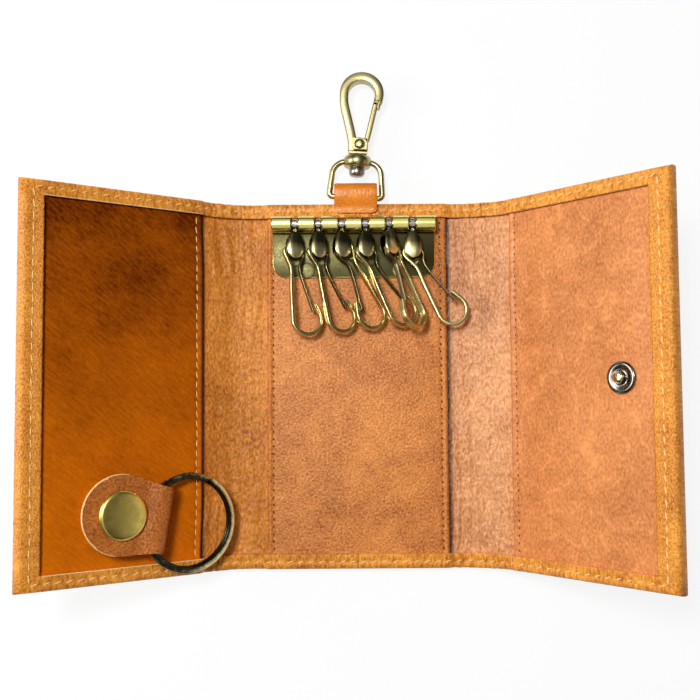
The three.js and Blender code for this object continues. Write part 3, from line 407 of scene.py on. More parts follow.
def cover_piece(name, us, end, side):
    """A length of the cover. Where it has an end, the hem turns the corners and runs down that edge."""
    ys = spread(-SIDE_REACH, SIDE_REACH, 2 * SIDE_REACH / 120)
    upper, lower = ([(u, y, ALONG) for u in us] for y in (HALF_HEIGHT, -HALF_HEIGHT))
    runs = [upper, lower[::-1]]
    if end is not None:
        rail = [(end, y, DOWN) for y in reversed(ys)]
        runs = [upper + [(end, HALF_HEIGHT, CORNER)] + rail + [(end, -HALF_HEIGHT, CORNER)] + lower[::-1]]
    points, flat, faces, lip = [], [], [], []
    count = len(TOP_INSETS)
    for run in runs:
        first = len(points)
        for u, y, kind in run:
            if kind == DOWN:
                top = PANEL_TOP + HEM_RISE + between_stitches(y)
            else:
                top = hem_top(u, y) - (CORNER_DROP if kind == CORNER else 0.0)
            inward = -1 if y > 0 else 1
            for k, height in enumerate(hem_heights(top)):
                at_u = u if kind == ALONG else u - side * SIDE_INSETS[k]
                at_y = y if kind == DOWN else y + inward * TOP_INSETS[k]
                points.append(laid(at_u, at_y, height))
                roll = TOP_INSETS[k] if k < ROLL_EDGE else -TOP_INSETS[k] - 4.0
                across, down = (side * roll, 0) if kind == DOWN else (0, inward * roll * 0.6)
                flat.append((at_u - across, at_y - down))
        for a in cells(len(run), count, first):
            i, k = divmod(a - first, count)
            if k == 0 and run[i][2] == ALONG and run[i][0] < -LEFT_POCKET_EDGE:
                lip.append(len(faces))
            quad = [a, a + count, a + count + 1, a + 1]
            faces.append(quad if side > 0 or end is None else quad[::-1])
    back_us = sorted(us + ([] if end is None else [end - side * BACK_INSET]))
    back_ys = [BACK_INSET - HALF_HEIGHT] + ys + [HALF_HEIGHT - BACK_INSET]
    first, rows = len(points), len(back_ys)
    points += [laid(u, y, 0.0) for u in back_us for y in back_ys]
    flat += [(u, y + BACK_PATTERN) for u in back_us for y in back_ys]
    faces += [[a, a + 1, a + rows + 1, a + rows] for a in cells(len(back_us), rows, first)]
    piece = make_piece(name, points, faces, [cover_leather, raw_edge], flat)
    for index in lip:
        piece.data.polygons[index].material_index = 1
    rework(piece, lambda shell: bmesh.ops.remove_doubles(shell, verts=shell.verts, dist=1e-6))
    wall = piece.modifiers.new("thickness", "SOLIDIFY")
    wall.thickness = COVER_WALL * MM
    wall.offset = -1
    wall.material_offset_rim = 1
    return apply_modifiers(piece)


LEFT_INNER_BEND = ("centre", "left_spine", -26.2, -31.2)
LEFT_OUTER_BEND = ("left_spine", "left_flap", -32.2, -37.6)
RIGHT_INNER_BEND = ("centre", "right_spine", 25.6, 32.0)
RIGHT_OUTER_BEND = ("right_spine", "right_flap", 37.4, 42.6)


def bend_with(piece, bend):
    """Bakes a piece's placing into its mesh. The fold that it is given does not bend it."""
    first, second, near, far = bend
    laid(near, 0, 3) * MM
    laid(far, 0, 3) * MM
    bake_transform(piece)


FINE, COARSE, TO_CORNER = 0.4, 0.725, 6.2
left_us = spread(LEFT_SPLIT, -44.0, FINE) + spread(-44.0, LEFT_END + TO_CORNER, COARSE)[1:]
right_us = spread(RIGHT_SPLIT, 44.0, FINE) + spread(44.0, RIGHT_END - TO_CORNER, COARSE)[1:]
centre_left_us = spread(LEFT_SPLIT, -23.0, FINE) + spread(-23.0, 0.0, COARSE)[1:]
centre_right_us = spread(0.0, 23.0, COARSE) + spread(23.0, RIGHT_SPLIT, FINE)[1:]
for name, us, end, side, bend, nodes in [
    ("cover_left_flap", left_us, LEFT_END, -1, LEFT_OUTER_BEND, ["left_flap_shell"]),
    ("cover_centre_left", centre_left_us, None, -1, LEFT_INNER_BEND, ["centre_shell", "left_spine_shell"]),
    ("cover_centre_right", centre_right_us, None, 1, RIGHT_INNER_BEND, ["right_spine_shell"]),
    ("cover_right_flap", right_us, RIGHT_END, 1, RIGHT_OUTER_BEND, ["right_flap_shell"]),
]:
    piece = cover_piece(name, us, end, side)
    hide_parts(*nodes)
    bend_with(piece, bend)

# Lining
# A thin soft leather lines the case and shows only at the two spines, where folding has creased it.
# It lies on the cover and runs in under the centre panel and the pockets.
LINING_BOTTOM, UNDER_HEM = 1.3, 48.4
lining_grain = {"pore": 0.62, "crease": 4.6, "depth": 0.6, "drawn": 1.8, "rough": 0.42, "relief": 0.22}
left_lining_leather = leather(
    "left lining leather", (0.30, 0.075, 0.006), (0.88, 0.340, 0.055), gloss=0.3, **lining_grain
)
# Painted sheen: the right spine has the same lining leather as the left, dyed paler and pinker here for the
# light glancing off it; it also has more gloss.
sheen_painted_right_lining = leather(
    "right lining leather", (0.33, 0.090, 0.015), (0.85, 0.390, 0.150), gloss=0.6, **lining_grain
)


def lining_top(u, y):
    """Long soft ridges down each spine, strongest towards its ends, with small creases across."""
    soft = in_spine(u) * (1 - ramp(abs(y), 44.0, 47.5))
    sway = 1.8 * wave(y * 0.05, 1.0, 0.0)
    ridges = wave((u + sway) * 0.4, y * 0.03, 2.0)
    ripples = wave((u + sway) * 0.95, y * 0.07, 9.0)
    creases = wave(u * 0.5 + y * 0.2, y * 0.45 - u * 0.2, 5.0)
    ends = 0.4 + 0.6 * ramp(abs(y), 10.0, 34.0)
    return LINING_TOP - 0.05 + soft * (ends * (0.62 * ridges + 0.40 * ripples) + 0.22 * creases)


def sheet(columns, rows):
    """Faces of a closed sheet. Its upper points run column by column, and its lower points follow."""
    under = columns * rows
    faces = []
    for a in cells(columns, rows):
        faces.append([a, a + rows, a + rows + 1, a + 1])
        faces.append([under + a, under + a + 1, under + a + rows + 1, under + a + rows])
    rim = [i * rows for i in range(columns)] + [under - rows + j for j in range(1, rows)]
    rim += [i * rows + rows - 1 for i in reversed(range(columns - 1))] + list(range(rows - 2, 0, -1))
    return faces + [[a, under + a, under + b, b] for a, b in zip(rim, rim[1:] + rim[:1])]


def sharp(piece, degrees):
    """Shades a piece sharply at the edges that bend by more than this."""
    piece.data.set_sharp_from_angle(angle=radians(degrees))
    return piece


def mark(piece, label, values):
    """Writes a value at each point of a piece, for its material to read."""
    piece.data.attributes.new(label, "FLOAT", "POINT").data.foreach_set("value", values)


def slab(name, us, ys, top, bottom, material):
    """A closed sheet between two heights above the flat case's back."""
    points = [laid(u, y, level(u, y)) for level in (top, bottom) for u in us for y in ys]
    faces = sheet(len(us), len(ys))
    if us[0] > us[-1]:
        faces = [face[::-1] for face in faces]
    return sharp(make_piece(name, points, faces, [material], [(u, y) for u in us for y in ys] * 2), 50)


lining_ys = spread(-UNDER_HEM, UNDER_HEM, 0.55)
for name, start, stop, bend, nodes in [
    ("lining_left_flap", LEFT_SPLIT, -46.0, LEFT_OUTER_BEND, ["left_flap_liner"]),
    ("lining_left_spine", LEFT_SPLIT, -22.0, LEFT_INNER_BEND, ["left_spine_liner", "centre_liner"]),
    ("lining_right_spine", RIGHT_SPLIT, 22.0, RIGHT_INNER_BEND, ["right_spine_liner"]),
    ("lining_right_flap", RIGHT_SPLIT, 45.0, RIGHT_OUTER_BEND, ["right_flap_liner"]),
]:
    us = spread(start, stop, 0.45)
    skin = left_lining_leather if start < 0 else sheen_painted_right_lining
    piece = slab(name, us, lining_ys, lining_top, lambda u, y: LINING_BOTTOM, skin)
    # Painted shadow: the shade attribute darkens the lining just right of the centre panel's right edge and
    # of the left pocket's mouth.
    shade = []
    for u in us:
        beside = u - CENTRE_EDGE if u > 0 else 0.7 * (u + LEFT_POCKET_EDGE)
        shade += [0.95 * (1 - ramp(beside, 0.4, 1.3)) if beside > -0.5 else 0.0] * len(lining_ys)
    mark(piece, "shade", shade * 2)
    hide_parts(*nodes)
    bend_with(piece, bend)

# Centre panel
# A flat panel of tan leather carries the hook row. Its top and bottom lie under the hem, and its two
# long sides are turned under and sewn down.
panel_leather = leather(
    "panel leather", (0.267, 0.057, 0.0056), (0.827, 0.317, 0.066),
    pore=0.62, crease=9.0, depth=0.1, rough=0.42,
)
PANEL_BOTTOM, SEAM_INSET, RIM_RADIUS = 2.1, 1.7, 0.6


def turned_edge(inset):
    """How far a turned edge falls away at this distance from its rim, with the seam's own dip."""
    rim = 0.0
    if inset < RIM_RADIUS:
        rim = RIM_RADIUS - RIM_RADIUS * sqrt(max(0.0, 1 - (1 - max(0.0, inset) / RIM_RADIUS) ** 2))
    seam = SEAM_GROOVE * exp(-(((inset - SEAM_INSET) / 0.38) ** 2))
    lip = 0.24 * exp(-(((inset - 0.75) / 0.45) ** 2))
    return lip - rim - seam


def centre_panel_top(u, y):
    inset = CENTRE_EDGE - abs(u)
    swell = 0.10 * wave(u * 0.06, y * 0.05, 1.5)
    return PANEL_TOP + turned_edge(inset) + swell * ramp(inset, 2.0, 8.0) * (1 - ramp(abs(y), 38.0, 46.0))


def fit(piece, slot, body, *nodes):
    """Hides the solids that a piece replaces and sets it on the body that it rides on. Its slot is not used.
    """
    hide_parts(*nodes)
    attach(piece, body)


edge_steps = [0.0, 0.06, 0.2, 0.4, 0.65, 0.95, 1.3, 1.5, 1.7, 1.9, 2.1, 2.5, 3.0]
panel_us = [-CENTRE_EDGE + e for e in edge_steps] + spread(-21.0, 21.0, 0.9)
panel_us += [CENTRE_EDGE - e for e in reversed(edge_steps)]
panel_ys = spread(-UNDER_HEM, UNDER_HEM, COARSE)
centre_panel = slab(
    "centre_panel_leather", panel_us, panel_ys, centre_panel_top, lambda u, y: PANEL_BOTTOM, panel_leather
)
fit(centre_panel, "tan_leather", "centre", "centre_panel")

# Slip pockets
# Each flap carries a leather pocket sewn under the hem on three sides. Its open edge, towards the
# spine, is turned under, sewn along and stands a little off the lining.
POCKET_IN_HEM = 1.4
amber_leather = leather(
    "amber pocket leather", (0.09, 0.012, 0.0003), (0.69, 0.163, 0.0022),
    cloud=1.3, fibre=1.0, fade=1.5, rough=0.40, relief=0.08, gloss=0.06,
)
tan_pocket_leather = leather(
    "tan pocket leather", (0.373, 0.103, 0.0186), (0.781, 0.291, 0.0866),
    pore=0.65, crease=8.0, depth=0.15, vein=0.15, drawn=1.5, rough=0.41, relief=0.10,
)


def pocket(name, mouth, end, lift, material):
    """A pocket from its mouth to the far hem, its mouth lifted off the lining."""
    side = 1 if mouth > 0 else -1
    us = [mouth + side * e for e in edge_steps] + spread(mouth + side * 3.9, end, 0.9)

    def raised(u, y):
        inset = abs(u) - abs(mouth)
        open_mouth = lift * (1 - ramp(inset, 0.0, 9.0)) * (1 - ramp(abs(y), 30.0, 46.0))
        swell = 0.22 * wave(u * 0.05, y * 0.045, 6.5) + 0.10
        within = ramp(inset, 3.0, 10.0) * (1 - ramp(abs(y), 36.0, 46.0)) * (1 - ramp(inset, 36.0, 43.0))
        return open_mouth + swell * within

    return slab(
        name,
        us,
        panel_ys,
        lambda u, y: PANEL_TOP + raised(u, y) + turned_edge(abs(u) - abs(mouth)),
        lambda u, y: PANEL_BOTTOM + raised(u, y),
        material,
    )


left_pocket = pocket("left_pocket_leather", -LEFT_POCKET_EDGE, LEFT_END + POCKET_IN_HEM, 0.8, amber_leather)
fit(left_pocket, "amber_leather", "left_flap", "left_pocket_panel")
right_pocket = pocket(
    "right_pocket_leather", RIGHT_POCKET_EDGE, RIGHT_END - POCKET_IN_HEM, 0.25, tan_pocket_leather
)
fit(right_pocket, "tan_leather", "right_flap", "right_pocket_panel")

# Sewing
# Pale waxed thread runs round the hem and along the left pocket's open edge in lockstitch: each stitch lies
# in its own small dip and slants between its two holes. Beside the centre panel and along the right pocket's
# open edge the stitches are near-black beads, painted shade for the shadow in their holes.
HEM_SEAM_Y, SIDE_SEAM_INSET, POCKET_SEAM_END, THREAD_SUNK = 48.0, 3.0, 45.6, 0.10
thread, tree = new_material("pale thread")
where = node(tree, "ShaderNodeTexCoord")["Object"]
twist = node(tree, "ShaderNodeTexWave", {"Vector": where, "Scale": 1400.0, "Distortion": 1.5})["Fac"]
strand = blended(tree, twist, (0.66, 0.36, 0.09), (1.0, 0.68, 0.26))
surfaced(tree, {"Base Color": strand, "Roughness": 0.55}, twist, 0.4, 0.05)

# Painted shade: a near-black thread for stitches whose holes lie in shadow.
hole_shade_thread, tree = new_material("sunk thread")
where = node(tree, "ShaderNodeTexCoord")["Object"]
painted_hole_shade = blended(tree, speckle(tree, where, 900.0)[0], (0.035, 0.008, 0.002), (0.10, 0.030, 0.008))
surfaced(tree, {"Base Color": painted_hole_shade, "Roughness": 0.8})

stitch_tree, given = new_group(
    "lockstitch",
    "GeometryNodeTree",
    {"Holes": "Geometry", "Length": "Float", "Thickness": "Float", "Slant": "Float", "Thread": "Material"},
    {"Stitches": "Geometry"},
)
bead = node(stitch_tree, "GeometryNodeMeshUVSphere", {"Segments": 8, "Rings": 6, "Radius": 0.5})[0]
size = node(
    stitch_tree, "ShaderNodeCombineXYZ", {0: given["Length"], 1: given["Thickness"], 2: given["Thickness"]}
)
stitch = node(stitch_tree, "GeometryNodeTransform", {"Geometry": bead, "Scale": size[0]})[0]
along, upright = (
    node(stitch_tree, "GeometryNodeInputNamedAttribute", {"Name": label}, data_type="FLOAT_VECTOR")[0]
    for label in ("along", "upright")
)
facing = node(stitch_tree, "FunctionNodeAlignRotationToVector", {"Vector": along}, axis="X")[0]
level = node(
    stitch_tree,
    "FunctionNodeAlignRotationToVector",
    {"Rotation": facing, "Vector": upright},
    axis="Z",
    pivot_axis="X",
)
slanted = node(
    stitch_tree, "FunctionNodeAxisAngleToRotation", {"Axis": (0.0, 0.0, 1.0), "Angle": given["Slant"]}
)
turn = node(
    stitch_tree,
    "FunctionNodeRotateRotation",
    {"Rotation": level[0], "Rotate By": slanted[0]},
    rotation_space="LOCAL",
)
sewn = node(
    stitch_tree,
    "GeometryNodeInstanceOnPoints",
    {"Points": given["Holes"], "Instance": stitch, "Rotation": turn[0]},
)
real = node(stitch_tree, "GeometryNodeRealizeInstances", {0: sewn[0]})[0]
dyed = node(stitch_tree, "GeometryNodeSetMaterial", {"Geometry": real, "Material": given["Thread"]})
node(stitch_tree, "NodeGroupOutput", {"Stitches": dyed[0]})


def stitches(name, places, length, thickness, slant, skin):
    """A run of stitches. Each place is a point, the way the seam runs and the way up, in millimetres."""
    run = make_piece(name, [p for p, _, _ in places], [], [skin])
    for label, index in (("along", 1), ("upright", 2)):
        layer = run.data.attributes.new(label, "FLOAT_VECTOR", "POINT")
        layer.data.foreach_set("vector", [c for stitch in places for c in stitch[index]])
    sewing = run.modifiers.new("lockstitch", "NODES")
    sewing.node_group = stitch_tree
    wanted = {"Length": length * MM, "Thickness": thickness * MM, "Slant": radians(slant), "Thread": skin}
    for item in stitch_tree.interface.items_tree:
        if item.in_out == "INPUT" and item.name in wanted:
            sewing[item.identifier] = wanted[item.name]
    apply_modifiers(run)
    run.data.polygons.foreach_set("use_smooth", [True] * len(run.data.polygons))
    return run


def upward(u, y):
    """The way off the leather at a spot of the case."""
    return (laid(u, y, 5.0) - laid(u, y, 4.0)).normalized()


def seam_across(u_from, u_to, y):
    """Places of the hem's stitches that run across the case at one y."""
    places = []
    for u in spread(u_from, u_to, STITCH_PITCH)[:-1]:
        mid = u + 0.5 * STITCH_PITCH * (1 if u_to > u_from else -1)
        near = (mid - 0.3, mid, mid + 0.3)
        before, here, after = (laid(at, y, hem_top(at, y) - THREAD_SUNK) for at in near)
        up = upward(mid, y)
        play = 0.12 * wave(mid * 3.7, y, 0.0)
        places.append((here, Matrix.Rotation(play, 3, up) @ (after - before).normalized(), up))
    return places


def seam_along(u, reach, height, pitch=STITCH_PITCH):
    """Places of stitches that run along the case at one u, as far as this to both sides of its middle."""
    up = upward(u, 0)
    places = []
    for y in spread(-reach, reach, pitch)[:-1]:
        mid = y + 0.5 * pitch
        here = laid(u + 0.15 * wave(u, mid * 2.3, 0.0), mid, height(mid))
        play = 0.15 * wave(u, mid * 3.7, 4.0)
        places.append((here, Matrix.Rotation(play, 3, up) @ Vector((0, 1, 0)), up))
    return places


for name, u_from, u_to, bend in [
    ("stitches_left_flap", LEFT_SPLIT, LEFT_END + SIDE_SEAM_INSET, LEFT_OUTER_BEND),
    ("stitches_centre_left", LEFT_SPLIT, 0.0, LEFT_INNER_BEND),
    ("stitches_centre_right", 0.0, RIGHT_SPLIT, RIGHT_INNER_BEND),
    ("stitches_right_flap", RIGHT_SPLIT, RIGHT_END - SIDE_SEAM_INSET, RIGHT_OUTER_BEND),
]:
    places = seam_across(u_from, u_to, HEM_SEAM_Y) + seam_across(u_from, u_to, -HEM_SEAM_Y)
    bend_with(stitches("hem_" + name, places, 2.0, 0.42, 20, thread), bend)
    if name.endswith("flap"):
        places = seam_along(u_to, HEM_SEAM_Y, lambda y: PANEL_TOP + HEM_RISE - THREAD_SUNK)
        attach(stitches("side_" + name, places, 2.3, 0.42, 5, thread), bend[1])

for name, u, lift, pitch, length, thickness, skin, body in [
    ("pocket_stitches_left", -LEFT_POCKET_EDGE - SEAM_INSET, 0.68, 2.6, 2.0, 0.34, thread, "left_flap"),
    ("pocket_stitches_right", RIGHT_POCKET_EDGE + SEAM_INSET, 0.2, 2.0, 0.65, 0.32, hole_shade_thread, "right_flap"),
    ("panel_stitches_left", -CENTRE_EDGE + SEAM_INSET, 0.0, 2.0, 0.75, 0.40, hole_shade_thread, "centre"),
    ("panel_stitches_right", CENTRE_EDGE - SEAM_INSET, 0.0, 2.0, 0.75, 0.40, hole_shade_thread, "centre"),
]:
    places = seam_along(
        u, POCKET_SEAM_END, lambda y: PANEL_TOP - THREAD_SUNK + lift * (1 - ramp(abs(y), 30.0, 46.0)), pitch
    )
    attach(stitches(name, places, length, thickness, 6, skin), body)

# Key row
# A stamped plate is rolled over at its top edge into a slotted barrel that holds a steel rod, and two
# rivets fix it to the panel. It is brass plated and antiqued dark.
ROW_X, ROW_Y, ROW_Z = -0.8, 44.0, 3.2
ROW_WIDTH, ROW_DROP, ROW_CORNER, ROW_THICK = 45.0, 14.7, 4.3, 0.6
BARREL_RADIUS, BARREL_BORE, ROD_RADIUS = 2.3, 0.85, 0.75
HOOK_PITCH, SLOT_WIDTH, HOOKS = 6.45, 1.95, 6
RIVET_OUT, RIVET_DROP = 12.9, 12.6

patina_group, given = new_group(
    "patina", "ShaderNodeTree", {"Vector": "Vector", "Brush": "Vector"}, {"Mask": "Float", "Scratch": "Float"}
)
blotch = speckle(patina_group, given["Vector"], 420.0, 5.0, 0.68)[0]
combed = node(patina_group, "ShaderNodeMapping", {"Vector": given["Vector"], "Scale": given["Brush"]})
scratch = speckle(patina_group, combed[0], 1.0, 3.0, 0.6)[0]
mask = calc(patina_group, "MULTIPLY_ADD", scratch, 0.55, calc(patina_group, "MULTIPLY", blotch, 0.45))
node(patina_group, "NodeGroupOutput", {"Mask": mask, "Scratch": scratch})


def metal(name, dark, light, brush, rough, relief=0.012, abraded_and_lit_colour=None):
    """An antiqued plating, darker in blotches and brushed. Where the abrasion_and_painted_light attribute is
    high,
    it turns to the last colour: abrasion on the ring's rim, a painted highlight on the hook heads and the
    ring's right side, and a painted reflection on the press stud's knob."""
    material, tree = new_material(name)
    where = node(tree, "ShaderNodeTexCoord")["Object"]
    patina = node(tree, "ShaderNodeGroup", {"Vector": where, "Brush": brush}, node_tree=patina_group)
    plate = blended(tree, ranged(tree, patina["Mask"], 0.34, 0.66), dark, light)
    if abraded_and_lit_colour:
        abrasion_and_light_share = node(tree, "ShaderNodeAttribute", attribute_name="abrasion_and_painted_light")["Fac"]
        streak = calc(tree, "MULTIPLY_ADD", patina["Scratch"], 0.7, abrasion_and_light_share)
        plate = blended(tree, ranged(tree, streak, 0.5, 1.2), plate, abraded_and_lit_colour)
    dull = ranged(tree, patina["Mask"], 0.35, 0.65, rough + 0.08, rough - 0.04)
    surfaced(tree, {"Base Color": plate, "Metallic": 1.0, "Roughness": dull}, patina["Scratch"], 0.5, relief)
    return material


row_brass = metal("row brass", (0.80, 0.72, 0.22), (0.94, 0.86, 0.31), (150.0, 2600.0, 2600.0), 0.22, 0.002)
plate_brass = metal("plate brass", (0.075, 0.068, 0.026), (0.13, 0.117, 0.048), (1800.0,) * 3, 0.42)
bright_steel = metal("bright steel", (0.22, 0.21, 0.205), (0.62, 0.60, 0.58), (2200.0, 300.0, 2200.0), 0.18)


def turned(profile, sides, axis="Z", base=0.0):
    """Points and faces of a turned piece from (radius, height above the base) pairs along its outside."""
    points, faces, rings = [], [], []
    for radius, height in profile:
        corners = sides if radius > 1e-6 else 1
        rings.append([len(points) + k % corners for k in range(sides)])
        for k in range(corners):
            a = 2 * pi * k / sides
            points.append(Vector((radius * cos(a), radius * sin(a), base + height)))
    for low, high in zip(rings, rings[1:]):
        for k in range(sides):
            n = (k + 1) % sides
            around = [low[k], low[n], high[n], high[k]]
            faces.append(list(dict.fromkeys(around)))
    turn = {"Z": spin(0, "Z"), "X": spin(90, "Y"), "Y": spin(-90, "X")}[axis]
    return [turn @ p for p in points], faces


def gather(*parts):
    """Several meshes as one, each given as its points and faces."""
    points, faces = [], []
    for part_points, part_faces in parts:
        first = len(points)
        points += part_points
        faces += [[first + k for k in face] for face in part_faces]
    return points, faces


def moved(shape, matrix):
    points, faces = shape
    return [matrix @ p for p in points], faces


def tube(rings, count, closed=False):
    """Faces between rings of points, with both ends closed by a cap or run together."""
    faces = []
    for i in range(rings if closed else rings - 1):
        a, b = i * count, (i + 1) % rings * count
        for k in range(count):
            n = (k + 1) % count
            faces.append([a + k, a + n, b + n, b + k])
    if not closed:
        faces += [list(range(count))[::-1], list(range((rings - 1) * count, rings * count))]
    return faces


def prism(outline, low, high, ease=0.0):
    """A flat plate from an outline that runs anticlockwise, its top rim eased."""
    rings = [(0.0, low), (0.0, high - ease)]
    if ease:
        rings += [(ease * 0.35, high - ease * 0.35), (ease, high)]
    count = len(outline)
    points = []
    for inset, height in rings:
        for k, here in enumerate(outline):
            run = (Vector(outline[(k + 1) % count]) - Vector(outline[k - 1])).normalized()
            points.append(Vector((here[0] - run.y * inset, here[1] + run.x * inset, height)))
    return points, tube(len(rings), count)


def arc(cx, cy, radius, start, stop, steps):
    angles = [radians(start + (stop - start) * i / steps) for i in range(steps + 1)]
    return [(cx + radius * cos(a), cy + radius * sin(a)) for a in angles]


def metal_piece(name, shape, place, materials, degrees, slot, body, *nodes):
    """A metal piece put in its place, shaded sharply at its edges."""
    piece = sharp(make_piece(name, *moved(shape, place), materials), degrees)
    fit(piece, slot, body, *nodes)
    return piece


row_place = shift(ROW_X, ROW_Y, ROW_Z)
rod_place = row_place @ shift(0, 0, BARREL_RADIUS)
half = ROW_WIDTH / 2
row_outline = (
    arc(-half + ROW_CORNER, -ROW_DROP + ROW_CORNER, ROW_CORNER, 180, 270, 10)
    + arc(half - ROW_CORNER, -ROW_DROP + ROW_CORNER, ROW_CORNER, 270, 360, 10)
    + [(half, 1.2), (-half, 1.2)]
)
row_shape = moved(prism(row_outline, 0.0, ROW_THICK, 0.3), row_place)
row_plate = sharp(make_piece("row_plate", *row_shape, [plate_brass, row_brass]), 40)
for face in row_plate.data.polygons:
    face.material_index = 1 if 0.05 < face.normal.z < 0.95 else 0
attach(row_plate, "centre")

hook_xs = [(i - (HOOKS - 1) / 2) * HOOK_PITCH for i in range(HOOKS)]
slot_sides = [-half] + [x + s * SLOT_WIDTH / 2 for x in hook_xs for s in (-1, 1)] + [half]
knuckles = []
for low, high in zip(slot_sides[::2], slot_sides[1::2]):
    ring = [(BARREL_BORE, low), (2.12, low), (2.24, low + 0.05)]
    ring += [(BARREL_RADIUS, z) for z in (low + 0.16, low + 0.3, high - 0.3, high - 0.16)]
    ring += [(2.24, high - 0.05), (2.12, high), (BARREL_BORE, high), (BARREL_BORE, low)]
    knuckles.append(turned(ring, 40, "X"))
metal_piece(
    "row_barrel", gather(*knuckles), rod_place, [row_brass], 35, "antique_brass", "centre", "key_row_plate"
)
rod_ring = [(0.0, -half), (0.6, -half), (ROD_RADIUS, -half + 0.15)]
rod_ring += [(ROD_RADIUS, half - 0.15), (0.6, half), (0.0, half)]
rod_shape = turned(rod_ring, 20, "X")
metal_piece("row_rod", rod_shape, rod_place, [bright_steel], 35, "bright_steel", "centre", "key_row_rod")
dome = [(0.0, 1.5), (1.1, 1.5), (1.1, 3.82), (2.2, 3.82), (2.1, 3.86), (1.7, 3.90), (1.0, 3.92), (0.0, 3.92)]
for i, side in ((1, -1), (2, 1)):
    rivet_place = shift(ROW_X + side * RIVET_OUT, ROW_Y - RIVET_DROP, 0)
    metal_piece(
        f"row_rivet_{i}", turned(dome, 28), rivet_place, [plate_brass], 35,
        "antique_brass", "centre", f"key_row_rivet_{i}",
    )

# Key hooks
# Each hook hangs by a steel stem whose eye runs on the rod. A pressed brass head turns on the stem's
# knob and grips a loop of flat brass spring strip, closed by a thinner sprung leaf.
HOOK_LEAN = [9.3, 18.7, -26.0, 30.8, -26.0, 30.9]
HOOK_LIFT = [6.0, 8.5, 10.0, 11.0, 21.0, 5.0]
HOOK_TURN = [18.0, 22.0, 202.0, 20.0, 220.8, 3.0]
STEM_LENGTH = 3.7
SPRING_AT = (0.3, -3.3, 0.0)
LOOP_RADIUS, LOOP_CENTRE = 3.95, -19.9
HEAD_TOP, HEAD_WIDEST, HEAD_TOE, HEAD_HALF, HEAD_SLOT_HALF = 1.3, -3.3, -6.1, 2.32, 1.02
head_brass = metal(
    "head brass", (0.050, 0.042, 0.022), (0.17, 0.145, 0.070), (2600.0, 180.0, 900.0), 0.30, 0.02,
    abraded_and_lit_colour=(0.86, 0.77, 0.38),
)
loop_brass = metal("loop brass", (0.48, 0.42, 0.18), (0.70, 0.62, 0.31), (700.0,) * 3, 0.28, 0.006)
leaf_brass = metal("leaf brass", (0.13, 0.110, 0.055), (0.26, 0.225, 0.115), (700.0,) * 3, 0.28, 0.006)


def smooth_path(points, steps):
    """A soft curve through the points, each of which it meets."""
    padded = [2 * points[0] - points[1]] + points + [2 * points[-1] - points[-2]]
    out = []
    for a, b, c, d in zip(padded, padded[1:], padded[2:], padded[3:]):
        for i in range(steps):
            t = i / steps
            bend = (2 * a - 5 * b + 4 * c - d) * t * t + (3 * b - 3 * c + d - a) * t * t * t
            out.append(0.5 * (2 * b + (c - a) * t + bend))
    return out + [points[-1]]


def rounded_section(thick, wide, ease, steps=3):
    """Cross-section of a strip with eased edges, thick across the path and wide along Z."""
    t, w = thick / 2, wide / 2
    corners = []
    for sx, sy, start in ((1, 1, 0), (-1, 1, 90), (-1, -1, 180), (1, -1, 270)):
        corners += arc(sx * (t - ease), sy * (w - ease), ease, start, start + 90, steps)
    return corners


def swept(path, section, closed=False):
    """A section carried along a path that lies in one plane of constant z."""
    points = []
    for i, here in enumerate(path):
        before = path[i - 1] if i or closed else path[0]
        after = path[(i + 1) % len(path)] if i + 1 < len(path) or closed else path[-1]
        run = (after - before).normalized()
        points += [here + Vector((-run.y, run.x, 0)) * t + Vector((0, 0, w)) for t, w in section]
    return points, tube(len(path), len(section), closed)


def spots(*places):
    return [Vector((x, y, 0.0)) for x, y in places]


loop_bow = spots(*arc(0, LOOP_CENTRE, LOOP_RADIUS, 171.5, 379, 30))
loop_root = spots(
    (-1.0, 0.6), (-2.1, 0.95), (-3.0, 0.3), (-3.25, -1.0), (-2.45, -3.8), (-2.2, -5.8), (-2.9, -10.5)
)
loop_run = smooth_path(loop_root + loop_bow[:1], 5) + loop_bow[1:] + spots((2.7, LOOP_CENTRE + 4.25))
tongue = swept(spots((-2.3, -4.1), (-1.6, -3.9), (-0.95, -3.72)), rounded_section(0.5, 1.3, 0.12))
loop_shape = gather(swept(loop_run, rounded_section(0.95, 1.8, 0.22)), tongue)
leaf_run = smooth_path(spots((1.3, -0.2), (1.45, -2.6), (0.15, -6.3), (2.07, -17.8)), 6)
leaf_shape = swept(leaf_run, rounded_section(0.5, 1.5, 0.14))

stem_eye = [(0.83, -0.7), (1.4, -0.7), (1.55, -0.55), (1.55, 0.55), (1.4, 0.7), (0.83, 0.7), (0.83, -0.7)]
stem_shank = [
    (0.0, -4.1), (0.75, -4.1), (0.9, -3.95), (0.9, -3.45), (0.75, -3.3), (0.6, -3.25), (0.6, -1.2),
    (0.0, -1.2),
]
stem_shape = gather(turned(stem_eye, 24, "X"), turned(stem_shank, 16, "Y"))


def head_half_width(y):
    """Half width of the head: a long oval crown that is widest low down, and a blunt toe."""
    if y > HEAD_WIDEST:
        return HEAD_HALF * sqrt(1 - ((y - HEAD_WIDEST) / (HEAD_TOP - HEAD_WIDEST + 0.12)) ** 2.7)
    return HEAD_HALF * (1 - ((HEAD_WIDEST - y) / (HEAD_WIDEST - HEAD_TOE + 0.05)) ** 2.8) ** 0.62


head_ys = [HEAD_TOP, 1.2, 1.0, 0.7] + spread(0.3, -4.6, 0.35) + [-4.9, -5.2, -5.5, -5.75, -5.95, HEAD_TOE]
head_ts = [-1.0, -0.96, -0.88, -0.76, -0.6, -0.4, -0.2, 0.0, 0.2, 0.4, 0.6, 0.76, 0.88, 0.96, 1.0]


